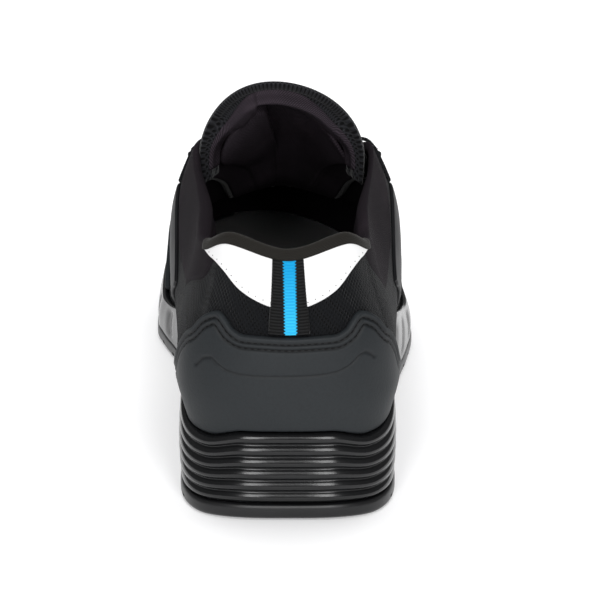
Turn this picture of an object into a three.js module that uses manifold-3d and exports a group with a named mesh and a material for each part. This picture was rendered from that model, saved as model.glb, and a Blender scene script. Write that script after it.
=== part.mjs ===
// Safety shoe for the right foot: a low work trainer with a ribbed heel sole.
// Millimetres. X points to the outer side of the foot, Y from heel to toe, Z up.
import * as THREE from 'three';
import { mergeVertices } from 'three/addons/utils/BufferGeometryUtils.js';
import Module from 'manifold-3d';

const wasm = await Module();
wasm.setup();

// Outline of the sole
const soleLength = 294;
const heelWidth = 79;
const ballWidth = 106.5;
const heelRound = 42; // length of the rounded heel end
const toeRound = 98; // length of the rounded toe end
const heelSquareness = 3.2; // 2 would be an ellipse
const toeSquareness = 2.05;
const inflare = 13; // how far the toe swings to the inner side

// Underside of the sole
const toeSpring = 13;
const heelRise = 0.8; // bevel at the back of the heel
const heelRiseLength = 9;
const archLift = 2;
const heelFlatEnd = 72;
const archMiddle = 118;
const ballFlatStart = 165;
const springStart = 222;

// Sole layers
const outsoleThickness = 5.5;
const outsoleBevel = 1;
const wallBack = 34; // ground to the top of the sole wall, right round the shoe
const wallCorner = 31.9;
const wallWing = 36.5;
const wallWaist = 31;
const wallBall = 18.5;
const wallToe = 18;
const wallBulge = 0.8;
const wallTaper = 2; // the wall's top lies this far inside its foot along the forefoot
const taperStart = 130; // the taper grows between these lengths
const taperEnd = 178;
const outsoleInset = 0.4; // how far each layer's face lies inside the sole's outline
const midsoleInset = 0.6;
const ribCount = 6;
const ribDepth = 1.4;
const ribFlat = 0.4; // share of each rib that is crest
const ribFadeStart = 75; // the ribs fade out along the sides between these lengths
const ribFadeEnd = 135;
const cupWall = 5; // sole wall at the bottom of the cup
const rimRound = 0.8; // rounding of the wall's outer top corner
const rimDrop = 0.6; // the rim's inner edge lies this far below its outer edge
const floorHeel = 21;
const floorBall = 11;
const floorToe = 10.5; // above the lifted underside

// Tread
const grooveDepth = 2.6;
const grooveWidth = 3.2;
const groovePitch = 15;
const grooveSweep = 7; // how far each groove is swept forward at the middle
const treadMargin = 9;

// Upper
const upperWall = 2.2;
const seat = 0.3; // clearance where two pieces meet
const upperHeelWidth = 79.5;
const upperBallWidth = 97;
const upperHeelBack = 40.4; // from the heel's centre back to the widest height
const upperToeFront = 93;
const upperHeelSquareness = 2.7;
const collarHeelWidth = 61;
const collarBack = 31;
const collarSquareness = 2.4;
const throatEnd = 9; // from the toe's centre forward to the throat
const throatWidth = 26;
const ankleLean = 0.02; // lean to the inner side for each millimetre of height
const topFullness = 0.42;
const widestHeel = 47; // height of the upper's widest line, right round the shoe
const widestWaist = 55;
const widestBall = 35;
const widestToe = 38;
const collarBackHeight = 99.5;
const collarPeakHeight = 103.3;
const collarSideHeight = 94;
const collarFrontHeight = 108.3;
const throatFrontHeight = 71;
const throatEndHeight = 70;
const collarPadding = 5.5;
const collarPaddingDepth = 38; // how far down from the edge the padding reaches
const paddingFadeStart = 66; // the padding fades out along the sides between these lengths
const paddingFadeEnd = 98;

// Footbed
const insoleHeel = 5;
const insoleToe = 4;

// Tongue
const tongueTopHeight = 135;
const tongueTopAt = 101; // from the back of the heel to the tongue's top edge
const tongueTopWidth = 64.5;
const tongueLegHeight = 95; // lower ends of the top edge's arch
const tongueLegTuck = 1.8; // the arch's legs draw in by this much between the collar's flanks
const tongueLegRise = 17; // over this height
const tonguePeakShift = 2.4; // the peak lies this far to the inner side
const tongueSideShift = 0.8; // and the whole top edge this far
const tongueThin = 4;
const tonguePadding = 8.5;
const tongueTuck = 0.15; // share of the upper's profile that the tongue reaches under the facings
const tongueClearance = 0.6;

// Heel counter and toe guard
const counterThickness = 1.8;
const counterMiddleHeight = 65;
const counterPeakHeight = 75;
const counterEndHeight = 41;
const counterEnd = 60; // how far forward it reaches along the sides
const guardThickness = 1.8;
const guardHeight = 47;
const guardStart = 205; // length at which it leaves the sole's rim

// Lace facing
const facingThickness = 1.2;
const facingStart = 113;
const facingWidth = 17;
const facingEdge = 1.5; // from the throat's edge to the facing
const trimGap = 0.8; // between the facing and the side bands
const eyeletCount = 5;
const eyeletSides = 6;
const eyeletRadius = 2.2;
const eyeletFromEdge = 8.5;
const eyeletFirst = 122;
const eyeletLast = 194;

// Side bands
const bandThickness = 1;
const bandRear = 73;
const bandFront = 150;
const bandRearDepth = 33; // from the opening's edge down to the band's rear tip

// Heel trim
const bindingDepth = 3;
const bindingThickness = 0.9;
const bindingEndOuter = 29; // where it ends along each side
const bindingEndInner = 24;
const tabThickness = 1.2;
const tabWidth = 14; // halfway down
const tabGap = 0.5; // from the tab to the panels beside it
const panelThickness = 0.6;
const panelDepth = 22; // at the pull tab
const panelEndOuter = 26.5;
const panelEndInner = 23.5;

// Lace
const laceWidth = 5.5;
const laceThickness = 2.2;
const laceClearance = 0.9; // off the facing at the eyelets
const laceOverEdge = 2; // off the facing where a band turns over the throat's edge

const quarter = Math.PI / 2;
const straight = soleLength - heelRound - toeRound;
const toeCentre = soleLength - toeRound;

// Numbers of columns and arches
const heelSteps = 9;
const straightSteps = 12;
const toeSteps = 8;
const archSteps = 8;
const fineness = 0.15; // how far a face may lie from the form that it stands for

function clamp(value, low, high) {
  return Math.min(high, Math.max(low, value));
}

function between(from, to, share) {
  return from + (to - from) * share;
}

function smooth(low, high, value) {
  const t = clamp((value - low) / (high - low), 0, 1);
  return t * t * (3 - 2 * t);
}

// A smooth curve through the rows of a table, level at both ends and with no overshoot.
function curve(rows, place, column) {
  const x = rows.map((row) => row[place]);
  const y = rows.map((row) => row[column]);
  const rise = (i) => (y[i + 1] - y[i]) / (x[i + 1] - x[i]);
  const slope = x.map((_, i) => {
    if (i === 0 || i === x.length - 1) return 0;
    const before = rise(i - 1);
    const after = rise(i);
    return before * after > 0 ? (2 * before * after) / (before + after) : 0;
  });
  return (at) => {
    const t = clamp(at, x[0], x[x.length - 1]);
    let i = 0;
    while (i < x.length - 2 && t > x[i + 1]) i += 1;
    const width = x[i + 1] - x[i];
    const s = (t - x[i]) / width;
    const blend = s * s * (3 - 2 * s);
    const leave = s * (1 - s) * (1 - s) * width * slope[i];
    const arrive = s * s * (s - 1) * width * slope[i + 1];
    return y[i] + (y[i + 1] - y[i]) * blend + leave + arrive;
  };
}

// The ring position runs from 0 at the back of the heel to 3 at the toe tip: 1 is the side of the heel's
// centre and 2 the side of the toe's centre. It is positive on the outer side and negative on the inner.
function wrapRing(ring) {
  if (ring > 3) return ring - 6;
  if (ring < -3) return ring + 6;
  return ring;
}

const ringAt = (length) => 1 + (length - heelRound) / straight;
const sideRing = (length) => 1 - Math.asin(clamp((heelRound - length) / heelRound, 0, 1)) / quarter;
const lengthAt = (ring) => heelRound + (clamp(Math.abs(ring), 1, 2) - 1) * straight;

function ribFrame(ring) {
  const side = ring < 0 ? -1 : 1;
  const around = Math.abs(ring);
  if (around < 1) {
    const angle = around * quarter;
    return { y: heelRound, dx: side * Math.sin(angle), dy: -Math.cos(angle) };
  }
  if (around <= 2) return { y: lengthAt(ring), dx: side, dy: 0 };
  const angle = (around - 2) * quarter;
  return { y: toeCentre, dx: side * Math.cos(angle), dy: Math.sin(angle) };
}

// Radius of a rounded end at an angle from its side, as a superellipse.
function endRadius(angle, sideways, lengthways, squareness) {
  const across = (Math.cos(angle) / sideways) ** squareness;
  const along = (Math.sin(angle) / lengthways) ** squareness;
  return (across + along) ** (-1 / squareness);
}

function ringRadius(ring, half, back, front, backSquareness) {
  const around = Math.abs(ring);
  const side = ring < 0 ? 'inner' : 'outer';
  if (around < 1) {
    return endRadius((1 - around) * quarter, half[side](1), back, backSquareness);
  }
  if (around <= 2) return half[side](around);
  return endRadius((around - 2) * quarter, half[side](2), front, toeSquareness);
}

// Swing of the foot's middle line to the inner side, as a share of the inflare.
const spine = curve([
  { along: 0, shift: 0 },
  { along: 0.5, shift: 0.01 },
  { along: 0.63, shift: 0.1 },
  { along: 0.67, shift: 0.17 },
  { along: 0.75, shift: 0.31 },
  { along: 0.85, shift: 0.56 },
  { along: 1, shift: 1 },
], 'along', 'shift');

function place(frame, radius, height) {
  const y = frame.y + frame.dy * radius;
  const lean = ankleLean * Math.max(0, height - wallBack);
  return new THREE.Vector3(frame.dx * radius - inflare * spine(y / soleLength) - lean, y, height);
}

function groundLine(y) {
  const heel = heelRise * (1 - smooth(0, heelRiseLength, y));
  const arch = archLift * (smooth(heelFlatEnd, archMiddle, y) - smooth(archMiddle, ballFlatStart, y));
  const toe = clamp((y - springStart) / (soleLength - springStart), 0, 1);
  return heel + arch + toeSpring * toe ** 1.8;
}

const outsoleTop = (y) => groundLine(y) + outsoleThickness;

function floorLine(y) {
  const drop = smooth(heelFlatEnd, toeCentre, y);
  const rise = smooth(toeCentre, soleLength, y);
  return floorHeel + (floorBall - floorHeel) * drop + (floorToe - floorBall) * rise + toeSpring * rise;
}

// Curve of a half width along the straight stretch. The rows hold shares of the way from the heel's width to
// the front's.
function halfWidth(rows, heelValue, frontValue, column) {
  const share = curve(rows, 'around', column);
  return (ring) => (heelValue + (frontValue - heelValue) * share(clamp(Math.abs(ring), 1, 2))) / 2;
}

const soleRows = [
  { around: 1, outer: 0, inner: 0 },
  { around: 1.25, outer: 0.0, inner: -0.08 },
  { around: 1.47, outer: 0.08, inner: -0.08 },
  { around: 1.67, outer: 0.43, inner: 0.16 },
  { around: 1.8, outer: 0.7, inner: 0.5 },
  { around: 1.93, outer: 0.94, inner: 0.88 },
  { around: 2, outer: 1, inner: 1 },
];
const soleHalf = {
  outer: halfWidth(soleRows, heelWidth, ballWidth, 'outer'),
  inner: halfWidth(soleRows, heelWidth, ballWidth, 'inner'),
};
const soleRadius = (ring) => ringRadius(ring, soleHalf, heelRound, toeRound, heelSquareness);

const wallTop = curve([
  { around: 0, top: wallBack },
  { around: 0.45, top: wallCorner },
  { around: 1.05, top: wallWing },
  { around: 1.58, top: wallWaist },
  { around: 1.97, top: wallBall },
  { around: 3, top: wallToe + toeSpring },
], 'around', 'top');

const upperRows = [
  { around: 1, outer: 0, inner: 0 },
  { around: 1.15, outer: 0.1, inner: 0.12 },
  { around: 1.44, outer: 0.36, inner: 0.45 },
  { around: 1.7, outer: 0.52, inner: 0.56 },
  { around: 2, outer: 0.98, inner: 0.82 },
];
const upperHalf = {
  outer: halfWidth(upperRows, upperHeelWidth, upperBallWidth, 'outer'),
  inner: halfWidth(upperRows, upperHeelWidth, upperBallWidth, 'inner'),
};

// Half width of the opening, as shares of the way from the collar's width to the throat's.
const edgeRows = [
  { around: 1, outer: 0, inner: 0 },
  { around: 1.15, outer: 0, inner: 0 },
  { around: 1.4, outer: -0.18, inner: -0.18 },
  { around: 1.46, outer: -0.14, inner: -0.14 },
  { around: 1.6, outer: 0.29, inner: 0.29 },
  { around: 1.75, outer: 0.66, inner: 0.66 },
  { around: 2, outer: 1, inner: 1 },
];
const edgeHalf = {
  outer: halfWidth(edgeRows, collarHeelWidth, throatWidth, 'outer'),
  inner: halfWidth(edgeRows, collarHeelWidth, throatWidth, 'inner'),
};

// Heights round the ring. A column holds shares of the way from one named height to the next: peak to side,
// side to front and front to throat for the edge, heel to waist and waist to ball for the widest line.
const edgeBack = (share) => between(collarPeakHeight, collarSideHeight, share);
const edgeSide = (share) => between(collarSideHeight, collarFrontHeight, share);
const edgeFront = (share) => between(collarFrontHeight, throatFrontHeight, share);
const wideBack = (share) => between(widestHeel, widestWaist, share);
const wideFront = (share) => between(widestWaist, widestBall, share);

// The edge's slope is in degrees from level.
const heightRows = [
  { around: 0, wide: widestHeel, edge: collarBackHeight, slope: 80, full: 0.52 },
  { around: 0.37, wide: widestHeel, edge: collarPeakHeight, slope: 80, full: 0.52 },
  { around: 0.69, wide: widestHeel, edge: edgeBack(0.78), slope: 80, full: 0.52 },
  { around: 1, wide: wideBack(0.12), edge: collarSideHeight, slope: 80, full: 0.52 },
  { around: 1.15, wide: wideBack(0.38), edge: edgeSide(0.14), slope: 78, full: 0.52 },
  { around: 1.31, wide: wideBack(0.75), edge: edgeSide(0.6), slope: 74, full: 0.52 },
  { around: 1.41, wide: widestWaist, edge: collarFrontHeight, slope: 70, full: 0.52 },
  { around: 1.47, wide: wideFront(0.05), edge: edgeFront(0.02), slope: 64, full: 0.52 },
  { around: 1.6, wide: wideFront(0.2), edge: edgeFront(0.2), slope: 56, full: 0.52 },
  { around: 1.75, wide: wideFront(0.5), edge: edgeFront(0.46), slope: 46, full: 0.52 },
  { around: 1.88, wide: wideFront(0.8), edge: edgeFront(0.76), slope: 38, full: 0.55 },
  { around: 2, wide: widestBall, edge: throatFrontHeight, slope: 31, full: 0.62 },
  { around: 3, wide: widestToe, edge: throatEndHeight, slope: 22, full: 0.98 },
];
const wideHeight = curve(heightRows, 'around', 'wide');
const edgeHeight = curve(heightRows, 'around', 'edge');
const edgeSlope = curve(heightRows, 'around', 'slope');
const fullness = curve(heightRows, 'around', 'full');

function cubic(a, b, c, d, t) {
  const s = 1 - t;
  return s * s * s * a + 3 * s * s * t * b + 3 * s * t * t * c + t * t * t * d;
}

// Outer face of the upper. Height runs from 0 at the bottom edge, in the sole's cup, to 1 at the edge above.
const bottomShare = 0.34;

function upperPoint(ringPosition, height) {
  const ring = wrapRing(ringPosition);
  const around = Math.abs(ring);
  const frame = ribFrame(ring);
  const sole = soleRadius(ring);
  const lowRadius = sole - cupWall - seat;
  const lowHeight = floorLine(frame.y + frame.dy * lowRadius) + seat;
  const wideRadius = ringRadius(ring, upperHalf, upperHeelBack, upperToeFront, upperHeelSquareness);
  const wide = wideHeight(around);
  if (height <= bottomShare) {
    const t = height / bottomShare;
    const radius = cubic(lowRadius, lowRadius, wideRadius, wideRadius, t);
    const rise = cubic(lowHeight, between(lowHeight, wide, 0.42), between(lowHeight, wide, 0.7), wide, t);
    return place(frame, radius, rise);
  }
  const t = (height - bottomShare) / (1 - bottomShare);
  const edgeRadius = ringRadius(ring, edgeHalf, collarBack, throatEnd, collarSquareness);
  const edge = edgeHeight(around);
  const slope = (edgeSlope(around) * Math.PI) / 180;
  const reach = topFullness * Math.hypot(wideRadius - edgeRadius, edge - wide);
  const radius = cubic(wideRadius, wideRadius, edgeRadius + reach * Math.cos(slope), edgeRadius, t);
  const rise = cubic(wide, between(wide, edge, fullness(around)), edge - reach * Math.sin(slope), edge, t);
  return place(frame, radius, rise);
}

function upperNormal(ring, height) {
  const step = 0.004;
  const low = Math.max(0, height - step);
  const high = Math.min(1, height + step);
  const up = upperPoint(ring, high).sub(upperPoint(ring, low));
  const round = upperPoint(ring + step, height).sub(upperPoint(ring - step, height));
  return round.cross(up).normalize();
}

function upperOffset(ring, height, distance) {
  return upperPoint(ring, height).addScaledVector(upperNormal(ring, height), distance);
}

// The share of the profile, from the bottom up, at which a test stops being true.
function shareWhere(test) {
  let low = 0;
  let high = 1;
  for (let i = 0; i < 24; i += 1) {
    const middle = (low + high) / 2;
    if (test(middle)) low = middle;
    else high = middle;
  }
  return (low + high) / 2;
}

// Where a face at a distance off the upper reaches a height, and where the upper is a depth below its edge.
function heightShare(ring, target, distance = 0) {
  return shareWhere((share) => upperOffset(ring, share, distance).z < target);
}

function depthShare(ring, depth) {
  const edge = upperPoint(ring, 1);
  return shareWhere((share) => upperPoint(ring, share).distanceTo(edge) > depth);
}

// Share of the profile that the sole's cup covers.
const cupShare = (ring) => heightShare(ring, wallTop(Math.abs(ring)) - rimDrop);

// Wall of the upper: thickened by padding below the collar's edge.
function wallThickness(ring, height) {
  const fromEdge = upperPoint(ring, height).distanceTo(upperPoint(ring, 1));
  const inCollar = 1 - smooth(ringAt(paddingFadeStart), ringAt(paddingFadeEnd), Math.abs(ring));
  const below = 1 - smooth(collarPaddingDepth * 0.5, collarPaddingDepth, fromEdge);
  const rounded = 0.35 + 0.65 * smooth(0, collarPaddingDepth * 0.25, fromEdge);
  return upperWall + collarPadding * inCollar * below * rounded;
}

// Ring positions of the columns, from the heel round the outer side to the toe and back along the inner side.
const halfColumns = [];
for (let i = 0; i < heelSteps; i += 1) halfColumns.push(i / heelSteps);
for (let i = 0; i < straightSteps; i += 1) halfColumns.push(1 + i / straightSteps);
for (let i = 0; i <= toeSteps; i += 1) halfColumns.push(2 + i / toeSteps);
const innerColumns = halfColumns.slice(1, -1).reverse().map((around) => -around);
const columns = [...halfColumns, ...innerColumns];

function solid(points, faces) {
  const geometry = new THREE.BufferGeometry().setFromPoints(points);
  geometry.setIndex(faces);
  let volume = 0;
  for (let i = 0; i < faces.length; i += 3) {
    const [a, b, c] = [points[faces[i]], points[faces[i + 1]], points[faces[i + 2]]];
    volume += a.dot(new THREE.Vector3().crossVectors(b, c));
  }
  if (volume < 0) geometry.setIndex(faces.reverse());
  return mergeVertices(geometry, 1e-4);
}

// A closed solid through rings of points. The last ring joins the first, or each end is closed by a strip
// between the two halves of its ring.
function ringSolid(rings, joined) {
  const count = rings[0].length;
  const points = rings.flat();
  const faces = [];
  const last = joined ? rings.length : rings.length - 1;
  for (let i = 0; i < last; i += 1) {
    const here = i * count;
    const next = ((i + 1) % rings.length) * count;
    for (let j = 0; j < count; j += 1) {
      const k = (j + 1) % count;
      faces.push(here + j, next + j, next + k, here + j, next + k, here + k);
    }
  }
  if (!joined) {
    const end = (rings.length - 1) * count;
    for (let j = 0; j < count / 2 - 1; j += 1) {
      const across = count - 1 - j;
      faces.push(j, j + 1, across - 1, j, across - 1, across);
      faces.push(end + j + 1, end + j, end + across, end + j + 1, end + across, end + across - 1);
    }
  }
  return solid(points, faces);
}

// A closed solid through loops round the shoe, closed below and above by strips from side to side.
function loopSolid(loops) {
  const count = loops[0].length;
  const half = count / 2;
  const points = loops.flat();
  const faces = [];
  for (let i = 0; i < loops.length - 1; i += 1) {
    const here = i * count;
    const next = here + count;
    for (let j = 0; j < count; j += 1) {
      const k = (j + 1) % count;
      faces.push(here + j, here + k, next + k, here + j, next + k, next + j);
    }
  }
  const top = (loops.length - 1) * count;
  for (let j = 0; j < half; j += 1) {
    const across = (count - j) % count;
    const acrossNext = count - j - 1;
    if (j > 0) {
      faces.push(j, across, j + 1);
      faces.push(top + j, top + j + 1, top + across);
    }
    if (j < half - 1) {
      faces.push(j + 1, across, acrossNext);
      faces.push(top + j + 1, top + acrossNext, top + across);
    }
  }
  return solid(points, faces);
}

function loop(radiusAt, heightAt) {
  return columns.map((ring) => {
    const frame = ribFrame(ring);
    const radius = radiusAt(ring);
    return place(frame, radius, heightAt(ring, frame.y + frame.dy * radius));
  });
}

function toManifold(geometry) {
  const bare = new THREE.BufferGeometry();
  bare.setAttribute('position', geometry.getAttribute('position'));
  bare.setIndex(geometry.getIndex());
  const merged = mergeVertices(bare, 1e-4);
  return new wasm.Manifold(new wasm.Mesh({
    numProp: 3,
    vertProperties: new Float32Array(merged.getAttribute('position').array),
    triVerts: new Uint32Array(merged.getIndex().array),
  }));
}

function fromManifold(body) {
  const mesh = body.simplify(fineness).getMesh();
  const geometry = new THREE.BufferGeometry();
  const stride = mesh.numProp;
  const positions = [];
  for (let i = 0; i < mesh.vertProperties.length; i += stride) {
    positions.push(mesh.vertProperties[i], mesh.vertProperties[i + 1], mesh.vertProperties[i + 2]);
  }
  geometry.setAttribute('position', new THREE.Float32BufferAttribute(positions, 3));
  geometry.setIndex(Array.from(mesh.triVerts));
  return geometry;
}

// Tread layer: a slab with a bevelled lower edge, cut by swept grooves.
function outsole() {
  const face = (ring) => soleRadius(ring) - outsoleInset;
  const bevelled = (ring) => face(ring) - outsoleBevel;
  const slab = loopSolid([
    loop(bevelled, (ring, y) => groundLine(y)),
    loop(face, (ring, y) => groundLine(y) + outsoleBevel),
    loop(face, (ring, y) => outsoleTop(y) - outsoleBevel),
    loop(bevelled, (ring, y) => outsoleTop(y)),
  ]);
  let tread = toManifold(slab);
  for (let y = treadMargin + groovePitch / 2; y < soleLength - treadMargin; y += groovePitch) {
    const shape = new THREE.Shape([
      new THREE.Vector2(-ballWidth, y - grooveSweep),
      new THREE.Vector2(0, y + grooveSweep),
      new THREE.Vector2(ballWidth, y - grooveSweep),
      new THREE.Vector2(ballWidth, y - grooveSweep + grooveWidth),
      new THREE.Vector2(0, y + grooveSweep + grooveWidth),
      new THREE.Vector2(-ballWidth, y - grooveSweep + grooveWidth),
    ]);
    const cutter = new THREE.ExtrudeGeometry(shape, { depth: outsoleThickness * 4, bevelEnabled: false });
    cutter.translate(0, 0, groundLine(y) + grooveDepth - outsoleThickness * 4);
    tread = tread.subtract(toManifold(cutter));
  }
  return fromManifold(tread);
}

const wallTaperAt = (ring) => wallTaper * smooth(ringAt(taperStart), ringAt(taperEnd), Math.abs(ring));

// Depth of the groove between ribs at a share of the wall's height.
function ribInset(share, ring) {
  const fade = 1 - smooth(ringAt(ribFadeStart), ringAt(ribFadeEnd), Math.abs(ring));
  const within = (share * ribCount) % 1;
  return within < 1e-6 || within > 1 - 1e-6 ? ribDepth * fade : 0;
}

// Cup sole: ribbed round the heel, with a floor inside the cup and a rim against the upper.
function midsole() {
  const level = (share) => (ring, y) => between(outsoleTop(y) + seat, wallTop(Math.abs(ring)), share);
  const face = (share) => (ring) => {
    const bulge = wallBulge * Math.sin(Math.PI * share);
    return soleRadius(ring) - midsoleInset + bulge - wallTaperAt(ring) * share - ribInset(share, ring);
  };
  const shares = [];
  for (let rib = 0; rib < ribCount; rib += 1) {
    shares.push(rib / ribCount);
    shares.push((rib + (1 - ribFlat) / 2) / ribCount);
    shares.push((rib + (1 + ribFlat) / 2) / ribCount);
  }
  const loops = shares.map((share) => loop(face(share), level(share)));
  loops.push(loop((ring) => soleRadius(ring) - midsoleInset - wallTaperAt(ring) - rimRound, level(1)));
  for (const depth of [1, 0.5, 0]) {
    loops.push(columns.map((ring) => {
      const point = upperOffset(ring, cupShare(ring) * depth, seat);
      if (depth === 0) point.z -= seat;
      return point;
    }));
  }
  return loopSolid(loops);
}

const aboveCup = [0, 0.17, 0.34, 0.52, 0.7, 0.87, 1];
const innerShares = [0.985, 0.92, 0.78, 0.58, 0.36, 0.17, 0];

// Rows of the upper's outer face: two in the cup and the rest above it.
function outerShares(ring) {
  const cup = cupShare(ring);
  return [0, cup / 2, ...aboveCup.map((share) => cup + (1 - cup) * share)];
}

function upper() {
  return ringSolid(columns.map((ring) => [
    ...outerShares(ring).map((share) => upperPoint(ring, share)),
    ...innerShares.map((share) => upperOffset(ring, share, -wallThickness(ring, share))),
  ]), true);
}

// Footbed: a thin slab that fills the cup's floor inside the upper.
function insole() {
  const thickness = (ring) => insoleHeel + (insoleToe - insoleHeel) * smooth(1, 2, Math.abs(ring));
  const outline = (level) => columns.map((ring) => {
    const share = heightShare(ring, upperPoint(ring, 0).z + thickness(ring) * level);
    return upperOffset(ring, share, -upperWall - seat);
  });
  return loopSolid([outline(0), outline(1)]);
}

// Rise of the tongue's arch under the facings, as a share of half the gap.
const archRows = [
  { around: 1 + 6 / straightSteps, rise: 0.74, thick: 0.75 },
  { around: 1 + 7 / straightSteps, rise: 0.65, thick: 0.55 },
  { around: 1 + 8 / straightSteps, rise: 0.57, thick: 0.38 },
  { around: 1 + 9 / straightSteps, rise: 0.5, thick: 0.25 },
  { around: 1 + 10 / straightSteps, rise: 0.43, thick: 0.15 },
  { around: 1 + 11 / straightSteps, rise: 0.36, thick: 0.05 },
  { around: 2, rise: 0.3, thick: 0 },
  { around: 2 + 2 / toeSteps, rise: 0.22, thick: 0 },
  { around: 2 + 4 / toeSteps, rise: 0.16, thick: 0 },
  { around: 2 + 6 / toeSteps, rise: 0.12, thick: 0 },
];
const laceRise = curve(archRows, 'around', 'rise');

// One arch of the tongue under the facings: along the upper's inner face, across the gap and along it again.
function tuckedArch(around, rise) {
  const below = (ring, share) => upperOffset(ring, share, -wallThickness(ring, share) - tongueClearance);
  const under = [1 - tongueTuck, 1 - tongueTuck * 0.55, 1 - tongueTuck * 0.2];
  const innerSide = under.map((share) => below(-around, share));
  const outerSide = under.map((share) => below(around, share)).reverse();
  const from = below(-around, 1);
  const to = below(around, 1);
  const gap = to.x - from.x;
  const across = [];
  for (let i = 0; i <= archSteps; i += 1) {
    const t = i / archSteps;
    const lift = rise * (gap / 2) * (1 - Math.abs(2 * t - 1) ** 2);
    across.push(new THREE.Vector3().lerpVectors(from, to, t).add(new THREE.Vector3(0, 0, lift)));
  }
  return [...innerSide, ...across, ...outerSide];
}

// One arch of the tongue's free top, above the collar.
function freeArch(y, crest, width) {
  const points = [];
  const count = archSteps + 7;
  for (let i = 0; i < count; i += 1) {
    const angle = ((2 * i) / (count - 1) - 1) * quarter;
    const height = tongueLegHeight + (crest - tongueLegHeight) * Math.max(0, Math.cos(angle)) ** 0.78;
    const tuck = tongueLegTuck * (1 - smooth(0, tongueLegRise, height - tongueLegHeight));
    const x = (width / 2 - tuck) * Math.sin(angle) - tongueSideShift - tonguePeakShift * Math.cos(angle) ** 4;
    points.push(place({ y, dx: 1, dy: 0 }, x, height));
  }
  return points;
}

function tongue() {
  const topRows = [
    { behind: 0, below: 0.6, thick: 0.6, wide: 0.985 },
    { behind: 1.5, below: 0, thick: 0.85, wide: 1 },
    { behind: 4, below: 1, thick: 1, wide: 1 },
    { behind: 8, below: 3.4, thick: 0.95, wide: 0.97 },
    { behind: 12, below: 6, thick: 0.85, wide: 0.93 },
  ];
  const free = topRows.map((row) => {
    return freeArch(tongueTopAt + row.behind, tongueTopHeight - row.below, tongueTopWidth * row.wide);
  });
  const tucked = archRows.map((row) => tuckedArch(row.around, row.rise));
  const arches = [...free, ...tucked];
  const thick = [...topRows, ...archRows].map((row) => tongueThin + (tonguePadding - tongueThin) * row.thick);
  const count = arches[0].length;
  const rings = arches.map((arch, i) => {
    const before = arches[Math.max(0, i - 1)];
    const after = arches[Math.min(arches.length - 1, i + 1)];
    const inside = arch.map((point, j) => {
      const across = arch[Math.min(count - 1, j + 1)].clone().sub(arch[Math.max(0, j - 1)]);
      const along = after[j].clone().sub(before[j]);
      const inward = along.cross(across).normalize();
      const edge = 0.5 + 0.5 * smooth(0, 0.25, 0.5 - Math.abs(j / (count - 1) - 0.5));
      return point.clone().addScaledVector(inward, thick[i] * edge);
    });
    return [...arch, ...inside.reverse()];
  });
  return ringSolid(rings, false);
}

// A point on the flat faces between the upper's columns, at a height above the cup and a distance off them.
function facePoint(ring, rise, distance) {
  const point = (column) => {
    const cup = cupShare(column);
    return upperOffset(column, between(cup, 1, rise), distance);
  };
  const all = [...halfColumns, ...halfColumns.slice(1, -1).map((around) => 6 - around)].sort((a, b) => a - b);
  const position = ring < 0 ? ring + 6 : ring;
  let i = 0;
  while (i < all.length - 1 && all[i + 1] <= position) i += 1;
  const here = all[i];
  const next = i < all.length - 1 ? all[i + 1] : 6;
  const column = (value) => (value > 3 ? value - 6 : value);
  const t = (position - here) / (next - here);
  if (t < 1e-6) return point(column(here));
  return point(column(here)).lerp(point(next === 6 ? 0 : column(next)), t);
}

const toRise = (ring, share) => (share - cupShare(ring)) / (1 - cupShare(ring));
const riseAtHeight = (ring, height, distance) => toRise(ring, heightShare(ring, height, distance));
const riseAtDepth = (ring, depth) => toRise(ring, depthShare(ring, depth));

// Columns from one ring position forward to another, going round by the outer side, the toe and the inner side.
function ringsBetween(from, to) {
  const end = to < from ? to + 6 : to;
  const inside = [];
  for (const column of [...columns, ...columns.map((value) => value + 6)]) {
    if (column > from + 0.01 && column < end - 0.01) inside.push(column);
  }
  return [from, ...inside.sort((a, b) => a - b), end].map(wrapRing);
}

// A thin wall over the whole upper, between two distances off its outer face.
function shell(near, far) {
  return toManifold(ringSolid(columns.map((ring) => {
    const shares = outerShares(ring).slice(1);
    return [
      ...shares.map((share) => upperOffset(ring, share, near)),
      ...shares.reverse().map((share) => upperOffset(ring, share, far)),
    ];
  }), true));
}

// An overlay: the part of such a wall that lies in a region with a lower and an upper edge.
function overlay({ from, to, lower, upperEdge, rows, thickness, extra = [] }) {
  const order = (ring) => (ring < from - 1e-9 ? ring + 6 : ring);
  const rings = [...ringsBetween(from, to), ...extra].sort((a, b) => order(a) - order(b));
  const region = ringSolid(rings.map((ring) => {
    const row = (distance) => {
      const points = [];
      for (let i = 0; i <= rows; i += 1) {
        const rise = between(lower(ring, distance), upperEdge(ring, distance), i / rows);
        points.push(facePoint(ring, rise, distance));
      }
      return points;
    };
    return [...row(-upperWall), ...row(thickness + upperWall).reverse()];
  }), false);
  return shell(seat, seat + thickness).intersect(toManifold(region));
}

const aboveRim = (ring, distance) => Math.max(0, riseAtHeight(ring, wallTop(Math.abs(ring)) + seat, distance));

// Heel counter: two peaks at the corners and a level middle.
const counterRows = [
  { around: 0, middle: 0, peak: 0 },
  { around: 0.19, middle: 0, peak: 0.07 },
  { around: 0.29, middle: 0, peak: 0.18 },
  { around: 0.37, middle: 0, peak: 0.6 },
  { around: 0.45, middle: 0, peak: 1 },
  { around: 0.525, middle: 0, peak: 0.53 },
  { around: 0.62, middle: 0.05, peak: 0 },
  { around: 0.76, middle: 0.38, peak: 0 },
  { around: 0.91, middle: 0.65, peak: 0 },
  { around: 1.12, middle: 1, peak: 0 },
];
const counterDrop = curve(counterRows, 'around', 'middle');
const counterPeak = curve(counterRows, 'around', 'peak');

function counterTop(ring) {
  const around = Math.abs(ring);
  const height = between(counterMiddleHeight, counterEndHeight, counterDrop(around));
  return height + (counterPeakHeight - counterMiddleHeight) * counterPeak(around);
}

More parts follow.
